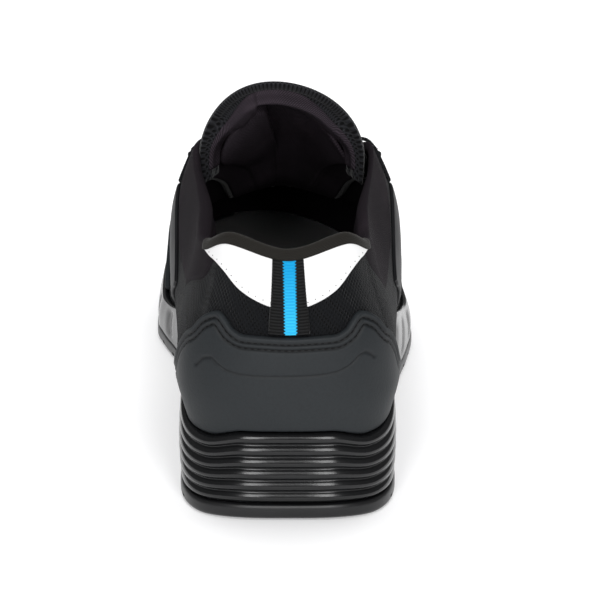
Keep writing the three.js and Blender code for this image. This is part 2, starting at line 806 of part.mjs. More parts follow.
function heelCounter() {
  const end = ringAt(counterEnd);
  return overlay({
    from: -end,
    to: end,
    lower: aboveRim,
    upperEdge: (ring, distance) => riseAtHeight(ring, counterTop(ring), distance),
    rows: 5,
    thickness: counterThickness,
  });
}

// Toe guard: highest at the toe tip, running down into the rim at the sides.
function toeGuard() {
  const from = 2 + Math.asin(clamp((guardStart - toeCentre) / upperToeFront, 0, 1)) / quarter;
  const height = (ring) => {
    const rim = wallTop(Math.abs(ring)) + seat;
    const rise = Math.sin(quarter * smooth(from, 3, Math.abs(ring)) ** 0.6);
    return between(rim + guardThickness, guardHeight, rise);
  };
  return overlay({
    from,
    to: -from,
    lower: aboveRim,
    upperEdge: (ring, distance) => riseAtHeight(ring, height(ring), distance),
    rows: 3,
    thickness: guardThickness,
  });
}

// Lace facing round the throat.
function facingBody() {
  const from = ringAt(facingStart);
  return overlay({
    from,
    to: -from,
    lower: (ring) => riseAtDepth(ring, facingWidth),
    upperEdge: (ring) => riseAtDepth(ring, facingEdge),
    rows: 2,
    thickness: facingThickness,
  });
}

const eyelets = [];
for (let i = 0; i < eyeletCount; i += 1) {
  eyelets.push(ringAt(between(eyeletFirst, eyeletLast, i / (eyeletCount - 1))));
}

function punchEyelets(body) {
  let punched = body;
  for (const around of eyelets) {
    for (const ring of [around, -around]) {
      const rise = riseAtDepth(ring, eyeletFromEdge);
      const middle = facePoint(ring, rise, 0);
      const axis = facePoint(ring, rise, 1).sub(middle).normalize();
      const length = 4 * (upperWall + facingThickness);
      const punch = new THREE.CylinderGeometry(eyeletRadius, eyeletRadius, length, eyeletSides);
      punch.applyQuaternion(new THREE.Quaternion().setFromUnitVectors(new THREE.Vector3(0, 1, 0), axis));
      punch.translate(middle.x, middle.y, middle.z);
      punched = punched.subtract(toManifold(punch));
    }
  }
  return punched;
}

// Side band: from the facing down to the sole's rim, with a nose that points to the heel.
const bandRows = [
  { along: 0, low: 0, top: 0 },
  { along: 0.05, low: 0.14, top: 0.12 },
  { along: 0.15, low: 0.3, top: 0.32 },
  { along: 0.35, low: 0.62, top: 0.72 },
  { along: 0.55, low: 1, top: 1 },
  { along: 1, low: 1, top: 1 },
];
const bandLow = curve(bandRows, 'along', 'low');
const bandTop = curve(bandRows, 'along', 'top');

function sideBand(side) {
  const from = ringAt(bandRear);
  const to = ringAt(bandFront);
  const along = (ring) => (Math.abs(ring) - from) / (to - from);
  const nose = (ring) => riseAtDepth(ring, bandRearDepth);
  const under = (ring) => riseAtDepth(ring, facingWidth + trimGap);
  const extra = [0.05, 0.15].map((share) => side * between(from, to, share));
  return overlay({
    from: side > 0 ? from : -to,
    to: side > 0 ? to : -from,
    lower: (ring, distance) => between(nose(ring), aboveRim(ring, distance), bandLow(along(ring))),
    upperEdge: (ring) => between(nose(ring) + 0.01, under(ring), bandTop(along(ring))),
    rows: 4,
    thickness: bandThickness,
    extra,
  });
}

// Edge binding: a folded strip over the collar's edge round the heel.
function binding() {
  const section = (ring, distance) => {
    const low = depthShare(ring, bindingDepth);
    const wall = (share) => wallThickness(ring, share);
    const up = new THREE.Vector3(0, 0, distance);
    return [
      upperOffset(ring, low, distance),
      upperOffset(ring, 1, distance).add(up),
      upperOffset(ring, innerShares[0], -wall(innerShares[0]) - distance).add(up),
      upperOffset(ring, low, -wall(low) - distance),
    ];
  };
  const rings = ringsBetween(-sideRing(bindingEndInner), sideRing(bindingEndOuter)).map((ring) => {
    return [...section(ring, seat), ...section(ring, seat + bindingThickness).reverse()];
  });
  return ringSolid(rings, false);
}

// Pull tab: webbing that lies down the middle of the heel, from the binding to the counter.
const tabRadius = (upperHeelBack + collarBack) / 2;
const tabSide = (clearance) => Math.asin((tabWidth / 2 + clearance) / tabRadius) / quarter;

function pullTab() {
  const lowest = (distance) => heightShare(0, counterMiddleHeight + trimGap, distance);
  const strip = (distance) => [0, 0.34, 0.68, 1].map((t) => {
    const height = upperOffset(0, lowest(distance), distance).z;
    return [-tabSide(0), -1 / heelSteps, 0, 1 / heelSteps, tabSide(0)].map((ring) => {
      const rise = between(riseAtHeight(ring, height, distance), riseAtDepth(ring, bindingDepth + seat), t);
      return facePoint(ring, rise, distance);
    });
  });
  const over = strip(seat + tabThickness);
  return ringSolid(strip(seat).map((row, i) => [...row, ...over[i].reverse()]), false);
}

// Reflective panel beside the pull tab, below the binding.
const panelRows = [
  { along: 0, depth: 1 },
  { along: 0.17, depth: 0.96 },
  { along: 0.33, depth: 0.87 },
  { along: 0.55, depth: 0.57 },
  { along: 0.78, depth: 0.22 },
  { along: 1, depth: 0 },
];
const panelShape = curve(panelRows, 'along', 'depth');

function panel(side) {
  const inside = tabSide(tabGap);
  const outside = sideRing(side > 0 ? panelEndOuter : panelEndInner);
  const top = bindingDepth + seat;
  const depth = (ring) => {
    const along = (Math.abs(ring) - inside) / (outside - inside);
    return between(top + 0.2, panelDepth, panelShape(clamp(along, 0, 1)));
  };
  return overlay({
    from: side > 0 ? inside : -outside,
    to: side > 0 ? outside : -inside,
    lower: (ring) => riseAtDepth(ring, depth(ring)),
    upperEdge: (ring) => riseAtDepth(ring, top),
    rows: 3,
    thickness: panelThickness,
  });
}

// Lace: flat bands that cross the throat from eyelet to eyelet, joined where they meet.
function laceBand(from, to) {
  const facingTop = seat + facingThickness + laceThickness / 2;
  const atEyelet = (ring) => facePoint(ring, riseAtDepth(ring, eyeletFromEdge), facingTop + laceClearance);
  const around = (t) => between(Math.abs(from), Math.abs(to), t);
  const atEdge = (ring, share) => upperOffset(Math.sign(ring) * around(share), 1, facingTop + laceOverEdge);
  const left = atEdge(from, 0.15);
  const right = atEdge(to, 0.85);
  const gap = left.distanceTo(right);
  const path = [atEyelet(from), left];
  for (const t of [0.28, 0.72]) {
    const rise = laceRise(around(t)) * (gap / 2) * (1 - (2 * t - 1) ** 2);
    path.push(left.clone().lerp(right, t).add(new THREE.Vector3(0, 0, rise)));
  }
  path.push(right, atEyelet(to));
  const forward = (side) => {
    return upperPoint(side * (around(0.5) + 0.05), 1).sub(upperPoint(side * (around(0.5) - 0.05), 1));
  };
  const down = forward(1).add(forward(-1)).normalize();
  const rings = path.map((point, i) => {
    const along = path[Math.min(path.length - 1, i + 1)].clone().sub(path[Math.max(0, i - 1)]).normalize();
    const across = down.clone().addScaledVector(along, -along.dot(down)).normalize();
    const out = across.clone().cross(along).normalize();
    if (out.z < 0) out.negate();
    const corner = (a, b) => {
      const moved = point.clone().addScaledVector(across, (a * laceWidth) / 2);
      return moved.addScaledVector(out, (b * laceThickness) / 2);
    };
    return [corner(-1, -1), corner(1, -1), corner(1, 1), corner(-1, 1)];
  });
  return toManifold(ringSolid(rings, false));
}

function lace() {
  let joined = laceBand(-eyelets[eyeletCount - 1], eyelets[eyeletCount - 1]);
  for (let i = 0; i < eyeletCount - 1; i += 1) {
    joined = joined.add(laceBand(-eyelets[i], eyelets[i + 1])).add(laceBand(-eyelets[i + 1], eyelets[i]));
  }
  return joined;
}

const material = (color, roughness) => new THREE.MeshStandardMaterial({ color, roughness, metalness: 0 });

const shoe = new THREE.Group();

function add(name, geometry, look) {
  const mesh = new THREE.Mesh(geometry, look);
  mesh.name = name;
  shoe.add(mesh);
}

add('outsole', outsole(), material(0x141414, 0.55));
add('midsole', fromManifold(toManifold(midsole())), material(0x0e0e0f, 0.4));
add('insole', insole(), material(0x1a1a1c, 0.9));
add('upper', fromManifold(punchEyelets(toManifold(upper()))), material(0x1c1d20, 0.85));
add('tongue', tongue(), material(0x201c20, 0.9));
add('heel_counter', fromManifold(heelCounter()), material(0x3a3e40, 0.8));
add('toe_guard', fromManifold(toeGuard()), material(0x3a3e40, 0.8));
add('lace_facing', fromManifold(punchEyelets(facingBody())), material(0x17181a, 0.5));
add('side_band_outer', fromManifold(sideBand(1)), material(0x17181a, 0.5));
add('side_band_inner', fromManifold(sideBand(-1)), material(0x17181a, 0.5));
add('reflective_outer', fromManifold(panel(1)), material(0xf2f2f2, 0.7));
add('reflective_inner', fromManifold(panel(-1)), material(0xf2f2f2, 0.7));
add('collar_binding', binding(), material(0x2d2b26, 0.85));
add('pull_tab', pullTab(), material(0x3c3a37, 0.85));
add('lace', fromManifold(lace()), material(0x161617, 0.8));

// The origin is the middle of the shoe's outline, on the ground.
const extent = new THREE.Box3().setFromObject(shoe);
const middle = extent.getCenter(new THREE.Vector3());
shoe.position.set(-middle.x, -middle.y, -extent.min.z);
shoe.updateMatrixWorld(true);

export default shoe;
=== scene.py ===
import math
import bpy
import numpy as np
from mathutils import Matrix, Vector


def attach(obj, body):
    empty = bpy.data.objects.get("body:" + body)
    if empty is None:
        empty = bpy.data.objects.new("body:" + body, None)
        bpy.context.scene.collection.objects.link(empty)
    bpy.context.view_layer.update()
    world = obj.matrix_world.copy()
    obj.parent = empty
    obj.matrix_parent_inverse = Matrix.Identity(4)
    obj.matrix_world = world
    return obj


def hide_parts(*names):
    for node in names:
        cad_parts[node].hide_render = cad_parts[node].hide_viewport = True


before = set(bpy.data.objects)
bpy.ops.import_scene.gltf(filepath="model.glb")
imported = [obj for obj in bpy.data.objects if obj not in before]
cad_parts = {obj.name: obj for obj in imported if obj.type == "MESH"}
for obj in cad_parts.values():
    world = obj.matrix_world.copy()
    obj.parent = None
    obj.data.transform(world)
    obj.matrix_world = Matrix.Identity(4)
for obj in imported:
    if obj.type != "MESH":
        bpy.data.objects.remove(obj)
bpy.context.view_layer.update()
print("frame loaded:", len(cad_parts), "nodes")

# Camera: behind the heel and a little above it, as in the photograph
cameraView = {"eye": (0.00689, -1.0795, 0.4049), "target": (0.00689, -0.08667, 0.06305), "lens": 171,
              "sensor": 36}

bpy.ops.object.camera_add(location=cameraView["eye"])
camera = bpy.context.object
camera.name = "rearCamera"
camera.data.lens = cameraView["lens"]
camera.data.sensor_width = cameraView["sensor"]
camera.data.dof.use_dof = False
sightLine = Vector(cameraView["target"]) - Vector(cameraView["eye"])
camera.rotation_euler = sightLine.to_track_quat("-Z", "Y").to_euler()
bpy.context.scene.camera = camera

# Form of the shoe, in millimetres. Y runs from the back of the heel to the toe
# The frame has its origin at the middle of the outline
origin = np.array([2.3912, -146.6676, 0.0])
sole = {"length": 294, "heelWidth": 79, "ballWidth": 106.5, "heelRound": 42, "toeRound": 98,
        "heelSquareness": 3.2, "toeSquareness": 2.05, "inflare": 13}
ground = {"toeSpring": 13, "heelRise": 0.8, "heelRiseLength": 9, "archLift": 2, "heelFlatEnd": 72,
          "archMiddle": 118, "ballFlatStart": 165, "springStart": 222, "thickness": 5.5}
cup = {"back": 33.5, "corner": 30.4, "wing": 36.5, "waist": 31, "ball": 18.5, "toe": 18, "wall": 5,
       "rimDrop": 0.6,
       "floorHeel": 21, "floorBall": 11, "floorToe": 10.5, "gap": 0.3}
shaft = {"heelWidth": 79.5, "ballWidth": 97, "heelBack": 40.4, "toeFront": 93, "heelSquareness": 2.7,
         "wall": 2.2,
         "lean": 0.02, "topFullness": 0.42, "bottomShare": 0.34,
         "trimShift": 1.5, "trimLow": 48, "trimHigh": 72, "trimNear": 12, "trimFar": 45}
opening = {"heelWidth": 61, "back": 31, "squareness": 2.4, "throatWidth": 26, "throatEnd": 9,
           "backHeight": 96.6, "peakHeight": 101.1, "sideHeight": 94, "frontHeight": 108.3,
           "throatHeight": 71,
           "throatEndHeight": 70, "padding": 5.5, "paddingDepth": 38, "fadeStart": 66, "fadeEnd": 98}
widest = {"heel": 47, "waist": 55, "ball": 35, "toe": 38}

quarter = math.pi / 2
straight = sole["length"] - sole["heelRound"] - sole["toeRound"]
toeCentre = sole["length"] - sole["toeRound"]


def between(low, high, share):
    return low + (high - low) * share


def smooth(low, high, value):
    share = np.clip((value - low) / (high - low), 0, 1)
    return share * share * (3 - 2 * share)


# Rises from 0 to 1 along a quarter of a circle
def rolled(share):
    return np.sqrt(1 - (1 - np.clip(share, 0, 1)) ** 2)


# A rounded hump of height 1
def hump(value, middle, width):
    return np.exp(-((value - middle) / width) ** 2)


# A smooth curve through the rows of a table, level at both ends and with no overshoot
def curve(rows, column=1):
    x = np.array([row[0] for row in rows], float)
    y = np.array([row[column] for row in rows], float)
    rise = np.diff(y) / np.diff(x)
    slope = np.zeros(len(x))
    for i in range(1, len(x) - 1):
        if rise[i - 1] * rise[i] > 0:
            slope[i] = 2 * rise[i - 1] * rise[i] / (rise[i - 1] + rise[i])

    def at(value):
        t = np.clip(value, x[0], x[-1])
        i = np.clip(np.searchsorted(x, t) - 1, 0, len(x) - 2)
        width = x[i + 1] - x[i]
        s = (t - x[i]) / width
        bend = s * (1 - s) ** 2 * width * slope[i] + s * s * (s - 1) * width * slope[i + 1]
        return y[i] + (y[i + 1] - y[i]) * s * s * (3 - 2 * s) + bend

    return at


# Ring position: 0 at the back of the heel, 1 beside the heel's centre, 2 beside the toe's centre,
# 3 at the toe tip. Positive on the outer side, negative on the inner side.
def wrapRing(ring):
    ring = np.asarray(ring, float)
    return np.where(ring > 3, ring - 6, np.where(ring < -3, ring + 6, ring))


def ringAt(length):
    return 1 + (length - sole["heelRound"]) / straight


def sideRing(length):
    return 1 - math.asin(min(1, max(0, (sole["heelRound"] - length) / sole["heelRound"]))) / quarter


def ringFrame(ring):
    side = np.where(ring < 0, -1.0, 1.0)
    around = np.abs(ring)
    heel, toe = around * quarter, (around - 2) * quarter
    atHeel, atSide = around < 1, around <= 2
    dx = np.where(atHeel, side * np.sin(heel), np.where(atSide, side, side * np.cos(toe)))
    dy = np.where(atHeel, -np.cos(heel), np.where(atSide, 0.0, np.sin(toe)))
    along = sole["heelRound"] + (np.clip(around, 1, 2) - 1) * straight
    return np.where(atHeel, sole["heelRound"], np.where(atSide, along, toeCentre)), dx, dy


# Length from the back of the heel to a place at a radius
def lengthAt(ring, radius):
    y0, _, dy = ringFrame(ring)
    return y0 + dy * radius


def endRadius(angle, sideways, lengthways, squareness):
    across = np.clip(np.cos(angle), 0, None) / sideways
    along = np.clip(np.sin(angle), 0, None) / lengthways
    return (across ** squareness + along ** squareness) ** (-1 / squareness)


def halfWidths(rows, heel, front):
    outer, inner = curve(rows, 1), curve(rows, 2)

    def at(ring, around):
        return between(heel, front, np.where(ring < 0, inner(around), outer(around))) / 2

    return at


def ringRadius(ring, half, back, front, squareness):
    around = np.abs(ring)
    side = half(ring, np.clip(around, 1, 2))
    heel = endRadius(np.clip(1 - around, 0, 1) * quarter, side, back, squareness)
    toe = endRadius(np.clip(around - 2, 0, 1) * quarter, side, front, sole["toeSquareness"])
    return np.where(around < 1, heel, np.where(around <= 2, side, toe))


spine = curve([(0, 0), (0.5, 0.01), (0.63, 0.1), (0.67, 0.17), (0.75, 0.31), (0.85, 0.56), (1, 1)])


def place(ring, radius, height):
    y0, dx, dy = ringFrame(ring)
    y = y0 + dy * radius
    lean = shaft["lean"] * np.maximum(0, height - cup["back"])
    trim = shaft["trimShift"] * smooth(shaft["trimLow"], shaft["trimHigh"], height)
    trim = trim * (1 - smooth(shaft["trimNear"], shaft["trimFar"], y))
    x = dx * radius - sole["inflare"] * spine(y / sole["length"]) - lean + trim
    return np.stack(np.broadcast_arrays(x, y, height), axis=-1)


def groundLine(y):
    heel = ground["heelRise"] * (1 - smooth(0, ground["heelRiseLength"], y))
    arch = smooth(ground["heelFlatEnd"], ground["archMiddle"], y)
    arch = arch - smooth(ground["archMiddle"], ground["ballFlatStart"], y)
    toe = np.clip((y - ground["springStart"]) / (sole["length"] - ground["springStart"]), 0, 1)
    return heel + ground["archLift"] * arch + ground["toeSpring"] * toe ** 1.8


def floorLine(y):
    drop = smooth(ground["heelFlatEnd"], toeCentre, y)
    rise = smooth(toeCentre, sole["length"], y)
    low = between(cup["floorHeel"], cup["floorBall"], drop)
    return low + (cup["floorToe"] - cup["floorBall"] + ground["toeSpring"]) * rise


soleHalf = halfWidths([(1, 0, 0), (1.25, 0, -0.08), (1.47, 0.08, -0.08), (1.67, 0.43, 0.16),
                       (1.8, 0.7, 0.5),
                       (1.93, 0.94, 0.88), (2, 1, 1)], sole["heelWidth"], sole["ballWidth"])
wallTop = curve([(0, cup["back"]), (0.24, cup["back"] - 0.1), (0.45, cup["corner"]), (1.05, cup["wing"]),
                 (1.58, cup["waist"]),
                 (1.97, cup["ball"]), (3, cup["toe"] + ground["toeSpring"])])
shaftHalf = halfWidths([(1, 0, 0), (1.15, 0.1, 0.12), (1.44, 0.36, 0.45), (1.7, 0.52, 0.56),
                        (2, 0.98, 0.82)],
                       shaft["heelWidth"], shaft["ballWidth"])
edgeHalf = halfWidths([(1, 0, 0), (1.15, 0, 0), (1.4, -0.18, -0.18), (1.46, -0.14, -0.14),
                       (1.6, 0.29, 0.29),
                       (1.75, 0.66, 0.66), (2, 1, 1)], opening["heelWidth"], opening["throatWidth"])


def soleRadius(ring):
    return ringRadius(ring, soleHalf, sole["heelRound"], sole["toeRound"], sole["heelSquareness"])


def edgeBack(share):
    return between(opening["peakHeight"], opening["sideHeight"], share)


def edgeSide(share):
    return between(opening["sideHeight"], opening["frontHeight"], share)


def edgeFront(share):
    return between(opening["frontHeight"], opening["throatHeight"], share)


def wideBack(share):
    return between(widest["heel"], widest["waist"], share)


def wideFront(share):
    return between(widest["waist"], widest["ball"], share)


# Columns: ring position, widest height, edge height, edge slope in degrees, fullness
heightRows = [
    (0, widest["heel"], opening["backHeight"], 80, 0.52),
    (0.42, widest["heel"], opening["peakHeight"], 80, 0.52),
    (0.69, widest["heel"], edgeBack(0.78), 80, 0.52),
    (1, wideBack(0.12), opening["sideHeight"], 80, 0.52),
    (1.15, wideBack(0.38), edgeSide(0.14), 78, 0.52),
    (1.31, wideBack(0.75), edgeSide(0.6), 74, 0.52),
    (1.41, widest["waist"], opening["frontHeight"], 70, 0.52),
    (1.47, wideFront(0.05), edgeFront(0.02), 64, 0.52),
    (1.6, wideFront(0.2), edgeFront(0.2), 56, 0.52),
    (1.75, wideFront(0.5), edgeFront(0.46), 46, 0.52),
    (1.88, wideFront(0.8), edgeFront(0.76), 38, 0.55),
    (2, widest["ball"], opening["throatHeight"], 31, 0.62),
    (3, widest["toe"], opening["throatEndHeight"], 22, 0.98),
]
wideHeight, edgeHeight, edgeSlope, fullness = [curve(heightRows, column) for column in (1, 2, 3, 4)]


def cubic(a, b, c, d, t):
    s = 1 - t
    return s ** 3 * a + 3 * s * s * t * b + 3 * s * t * t * c + t ** 3 * d


# Outer face of the upper: a share of 0 is its bottom edge in the sole's cup and 1 its edge at the opening
def upperPoint(ring, share):
    ring, share = np.broadcast_arrays(wrapRing(ring), np.asarray(share, float))
    around = np.abs(ring)
    lowRadius = soleRadius(ring) - cup["wall"] - cup["gap"]
    lowHeight = floorLine(lengthAt(ring, lowRadius)) + cup["gap"]
    wideRadius = ringRadius(ring, shaftHalf, shaft["heelBack"], shaft["toeFront"],
                            shaft["heelSquareness"])
    wide, edge = wideHeight(around), edgeHeight(around)
    t = np.clip(share / shaft["bottomShare"], 0, 1)
    lowR = cubic(lowRadius, lowRadius, wideRadius, wideRadius, t)
    lowZ = cubic(lowHeight, between(lowHeight, wide, 0.42), between(lowHeight, wide, 0.7), wide, t)
    t = np.clip((share - shaft["bottomShare"]) / (1 - shaft["bottomShare"]), 0, 1)
    edgeRadius = ringRadius(ring, edgeHalf, opening["back"], opening["throatEnd"], opening["squareness"])
    slope = np.radians(edgeSlope(around))
    reach = shaft["topFullness"] * np.hypot(wideRadius - edgeRadius, edge - wide)
    highR = cubic(wideRadius, wideRadius, edgeRadius + reach * np.cos(slope), edgeRadius, t)
    highZ = cubic(wide, between(wide, edge, fullness(around)), edge - reach * np.sin(slope), edge, t)
    low = share <= shaft["bottomShare"]
    return place(ring, np.where(low, lowR, highR), np.where(low, lowZ, highZ))


def unit(vectors):
    return vectors / np.maximum(np.linalg.norm(vectors, axis=-1, keepdims=True), 1e-9)


def upperNormal(ring, share):
    step = 0.004
    up = upperPoint(ring, np.minimum(1, share + step)) - upperPoint(ring, np.maximum(0, share - step))
    along = upperPoint(ring + step, share) - upperPoint(ring - step, share)
    return unit(np.cross(along, up))


def upperOffset(ring, share, distance):
    distance = np.asarray(distance, float)
    return upperPoint(ring, share) + upperNormal(ring, share) * distance[..., None]


# The share of the profile, from the bottom up, at which a test stops being true
def shareWhere(ring, test):
    low, high = np.zeros(np.shape(ring)), np.ones(np.shape(ring))
    for _ in range(24):
        middle = (low + high) / 2
        below = test(middle)
        low, high = np.where(below, middle, low), np.where(below, high, middle)
    return (low + high) / 2


def shareAtHeight(ring, height):
    return shareWhere(ring, lambda share: upperPoint(ring, share)[..., 2] < height)


def shareAtDepth(ring, depth):
    edge = upperPoint(ring, np.ones(np.shape(ring)))
    return shareWhere(ring, lambda share: np.linalg.norm(upperPoint(ring, share) - edge, axis=-1) > depth)


def cupShare(ring):
    return shareAtHeight(ring, wallTop(np.abs(wrapRing(ring))) - cup["rimDrop"])


def wallThickness(ring, share):
    fromEdge = np.linalg.norm(upperPoint(ring, share) - upperPoint(ring, np.ones(np.shape(share))),
                              axis=-1)
    fade = smooth(ringAt(opening["fadeStart"]), ringAt(opening["fadeEnd"]), np.abs(wrapRing(ring)))
    below = 1 - smooth(opening["paddingDepth"] * 0.5, opening["paddingDepth"], fromEdge)
    rounded = 0.35 + 0.65 * smooth(0, opening["paddingDepth"] * 0.25, fromEdge)
    return shaft["wall"] + opening["padding"] * (1 - fade) * below * rounded


# Ring positions round the whole shoe, about evenly spaced, from the heel by the outer side and back
def ringsRound(heelCount, sideCount, toeCount):
    outer = np.concatenate([np.linspace(0, 1, heelCount, endpoint=False),
                            np.linspace(1, 2, sideCount, endpoint=False),
                            np.linspace(2, 3, toeCount + 1)])
    return np.concatenate([outer, 6 - outer[-2::-1]])


def gridNormals(points, closed=False):
    if closed:
        padded = np.concatenate([points[:, -2:-1], points, points[:, 1:2]], axis=1)
        along = (padded[:, 2:] - padded[:, :-2]) / 2
    else:
        along = np.gradient(points, axis=1)
    return unit(np.cross(along, np.gradient(points, axis=0)))


# Rows of a top face, then the rows of its bottom face back to the start
def bothFaces(top, bottom, closed=False):
    return np.concatenate([top, bottom[::-1]] + ([top[:1]] if closed else []))


def runLength(points, axis):
    steps = np.linalg.norm(np.diff(points, axis=axis), axis=-1)
    start = np.zeros_like(np.take(steps, [0], axis=axis))
    return np.cumsum(np.concatenate([start, steps], axis=axis), axis=axis)


# Pattern coordinates in millimetres: u along the row in the middle, v down the columns from a row
def layOut(points, fromRow=-1):
    middle = points.shape[0] // 2
    u = runLength(points[middle], 0)
    v = runLength(points, 0)
    v = v - v[fromRow]
    return np.stack(np.broadcast_arrays(u[None, :], v), axis=-1)


def deselectAll():
    bpy.ops.object.select_all(action="DESELECT")


def activate(piece):
    deselectAll()
    piece.select_set(True)
    bpy.context.view_layer.objects.active = piece


# A grid primitive whose points are moved onto rows and columns of places, in the shoe's millimetres
def gridPiece(name, points, pattern=None, turned=True):
    rows, columns = points.shape[:2]
    deselectAll()
    bpy.ops.mesh.primitive_grid_add(x_subdivisions=columns - 1, y_subdivisions=rows - 1, size=1)
    piece = bpy.context.object
    piece.name = name
    mesh = piece.data
    flat = np.empty(len(mesh.vertices) * 3, np.float32)
    mesh.vertices.foreach_get("co", flat)
    flat = flat.reshape(-1, 3)
    column = np.rint((flat[:, 0] + 0.5) * (columns - 1)).astype(int)
    row = np.rint((flat[:, 1] + 0.5) * (rows - 1)).astype(int)
    placed = (points[row, column] + origin) / 1000
    mesh.vertices.foreach_set("co", placed.astype(np.float32).ravel())
    if pattern is not None:
        corner = np.empty(len(mesh.loops), np.int32)
        mesh.loops.foreach_get("vertex_index", corner)
        mesh.uv_layers[0].data.foreach_set("uv", pattern[row, column][corner].astype(np.float32).ravel())
    activate(piece)
    bpy.ops.object.mode_set(mode="EDIT")
    bpy.ops.mesh.select_all(action="SELECT")
    bpy.ops.mesh.remove_doubles(threshold=0.000002)
    bpy.ops.mesh.dissolve_degenerate(threshold=0.0000005)
    bpy.ops.mesh.select_all(action="SELECT")
    if turned:
        bpy.ops.mesh.normals_make_consistent(inside=False)
    bpy.ops.object.mode_set(mode="OBJECT")
    bpy.ops.object.shade_smooth()
    return piece


# Shader maths: a wire holds one socket, and an expression on wires adds its Math nodes
class Wire:
    def __init__(self, finish, socket):
        self.finish, self.socket = finish, socket

    def __add__(self, other):
        return self.finish.math("ADD", self, other)

    __radd__ = __add__

    def __mul__(self, other):
        return self.finish.math("MULTIPLY", self, other)

    __rmul__ = __mul__

    def __sub__(self, other):
        return self.finish.math("SUBTRACT", self, other)

    def __rsub__(self, other):
        return self.finish.math("SUBTRACT", other, self)

    def __truediv__(self, other):
        return self.finish.math("DIVIDE", self, other)

    def fraction(self):
        return self.finish.math("FRACT", self)

    def wave(self, pitch):
        return self.finish.math("SINE", self * (2 * math.pi / pitch))

    def ridge(self, pitch):
        return self.wave(pitch) * 0.5 + 0.5

    def size(self):
        return self.finish.math("ABSOLUTE", self)

    def least(self, other):
        return self.finish.math("MINIMUM", self, other)

    def step(self, low, high, fromValue=0.0, toValue=1.0):
        return self.finish.wire("MapRange", {"interpolation_type": "SMOOTHSTEP"}, {
            "Value": self, "From Min": low, "From Max": high, "To Min": fromValue, "To Max": toValue})


class Finish:
    def __init__(self, name, color, roughness, **constants):
        self.material = bpy.data.materials.new(name)
        self.material.use_nodes = True
        self.tree = self.material.node_tree
        self.shader = self.tree.nodes["Principled BSDF"]
        self.set("Base Color", color)
        self.set("Roughness", roughness)
        for key, value in constants.items():
            self.set(key.replace("_", " "), value)

    def plug(self, socket, value):
        if isinstance(value, Wire):
            self.tree.links.new(value.socket, socket)
        elif isinstance(value, tuple) and len(value) == 3 and socket.type == "RGBA":
            socket.default_value = (*value, 1)
        else:
            socket.default_value = value

    def set(self, name, value):
        self.plug(self.shader.inputs[name], value)

    def node(self, kind, settings=None, sockets=None):
        made = self.tree.nodes.new("ShaderNode" + kind)
        for key, value in (settings or {}).items():
            setattr(made, key, value)
        for key, value in (sockets or {}).items():
            self.plug(made.inputs[key], value)
        return made

    def wire(self, kind, settings=None, sockets=None, output=0):
        return Wire(self, self.node(kind, settings, sockets).outputs[output])

    def math(self, operation, *values):
        made = self.node("Math", {"operation": operation})
        for socket, value in zip(made.inputs, values):
            self.plug(socket, value)
        return Wire(self, made.outputs[0])

    def mix(self, share, first, second):
        sockets = {0: share, 6: first, 7: second}
        return self.wire("Mix", {"data_type": "RGBA"}, sockets, 2)

    def coordinate(self, output="Object"):
        return self.wire("TexCoord", output=output)

    def parts(self, output="Object"):
        split = self.node("SeparateXYZ", sockets={"Vector": self.coordinate(output)})
        return [Wire(self, split.outputs[i]) for i in range(3)]

    def noise(self, scale, detail=3.0, roughness=0.5, output="Object"):
        sockets = {"Vector": self.coordinate(output), "Scale": scale, "Detail": detail,
                   "Roughness": roughness}
        return self.wire("TexNoise", sockets=sockets)

    def cells(self, scale, feature="F1", randomness=1.0, output="Object"):
        sockets = {"Vector": self.coordinate(output), "Scale": scale, "Randomness": randomness}
        return self.wire("TexVoronoi", {"feature": feature}, sockets)

    # Square of the distance to the nearest point of two offset lattices
    def lattice(self, u, v, look, stretch=1.0):
        spots = []
        for shift in (0.0, 0.5):
            x = (u / look["pitch"] + shift).fraction() - 0.5
            y = (v / look["drop"] + shift).fraction() - 0.5
            spots.append(x * x * stretch + y * y)
        return spots[0].least(spots[1])

    def relief(self, height, depth, strength=1.0):
        sockets = {"Height": height, "Distance": depth, "Strength": strength}
        self.set("Normal", self.wire("Bump", sockets=sockets))


def polyurethane(name, look):
    finish = Finish(name, look["color"], look["roughness"], IOR=1.5, Specular_IOR_Level=0.42)
    cloudy, fine = finish.noise(38, 4), finish.noise(1500, 2)
    finish.set("Base Color", finish.mix(cloudy.step(0.35, 0.7), look["color"], look["worn"]))
    finish.set("Roughness", look["roughness"] + (cloudy - 0.5) * look["uneven"] + (fine - 0.5) * 0.05)
    finish.relief(fine + finish.noise(420, 2) * 0.7, look["grain"], 0.5)
    return finish.material


def coatedLeather(name, look):
    finish = Finish(name, look["color"], look["roughness"], IOR=1.45, Specular_IOR_Level=look["gloss"])
    cloudy, pebble = finish.noise(26, 4), finish.cells(1150, "SMOOTH_F1")
    pores = finish.noise(3200, 2)
    tone = finish.mix(cloudy.step(0.3, 0.72), look["color"], look["worn"])
    # Painted shade: the crevices between the pebbles are darker, where the relief is low
    tone = finish.mix(pebble.step(0.25, 0.75, 0.0, 0.22), tone, look["valleyShade"])
    # Painted shade: the pattern's u marks the grooves and the pressed line, which are darkened towards
    # the near-black groove colour
    pressed, _, _ = finish.parts("UV")
    finish.set("Base Color", finish.mix(pressed * look["pressed"], tone, look["groove"]))
    finish.set("Roughness", look["roughness"] + (cloudy - 0.5) * 0.14 - pebble * 0.05)
    finish.relief(pebble * -1 + pores * 0.35, look["grain"], 0.65)
    return finish.material


def clothFinish(name, look, fuzz=0.4):
    return Finish(name, look["color"], look["roughness"], Specular_IOR_Level=0.15,
                  Sheen_Weight=look["sheen"],
                  Sheen_Roughness=fuzz)


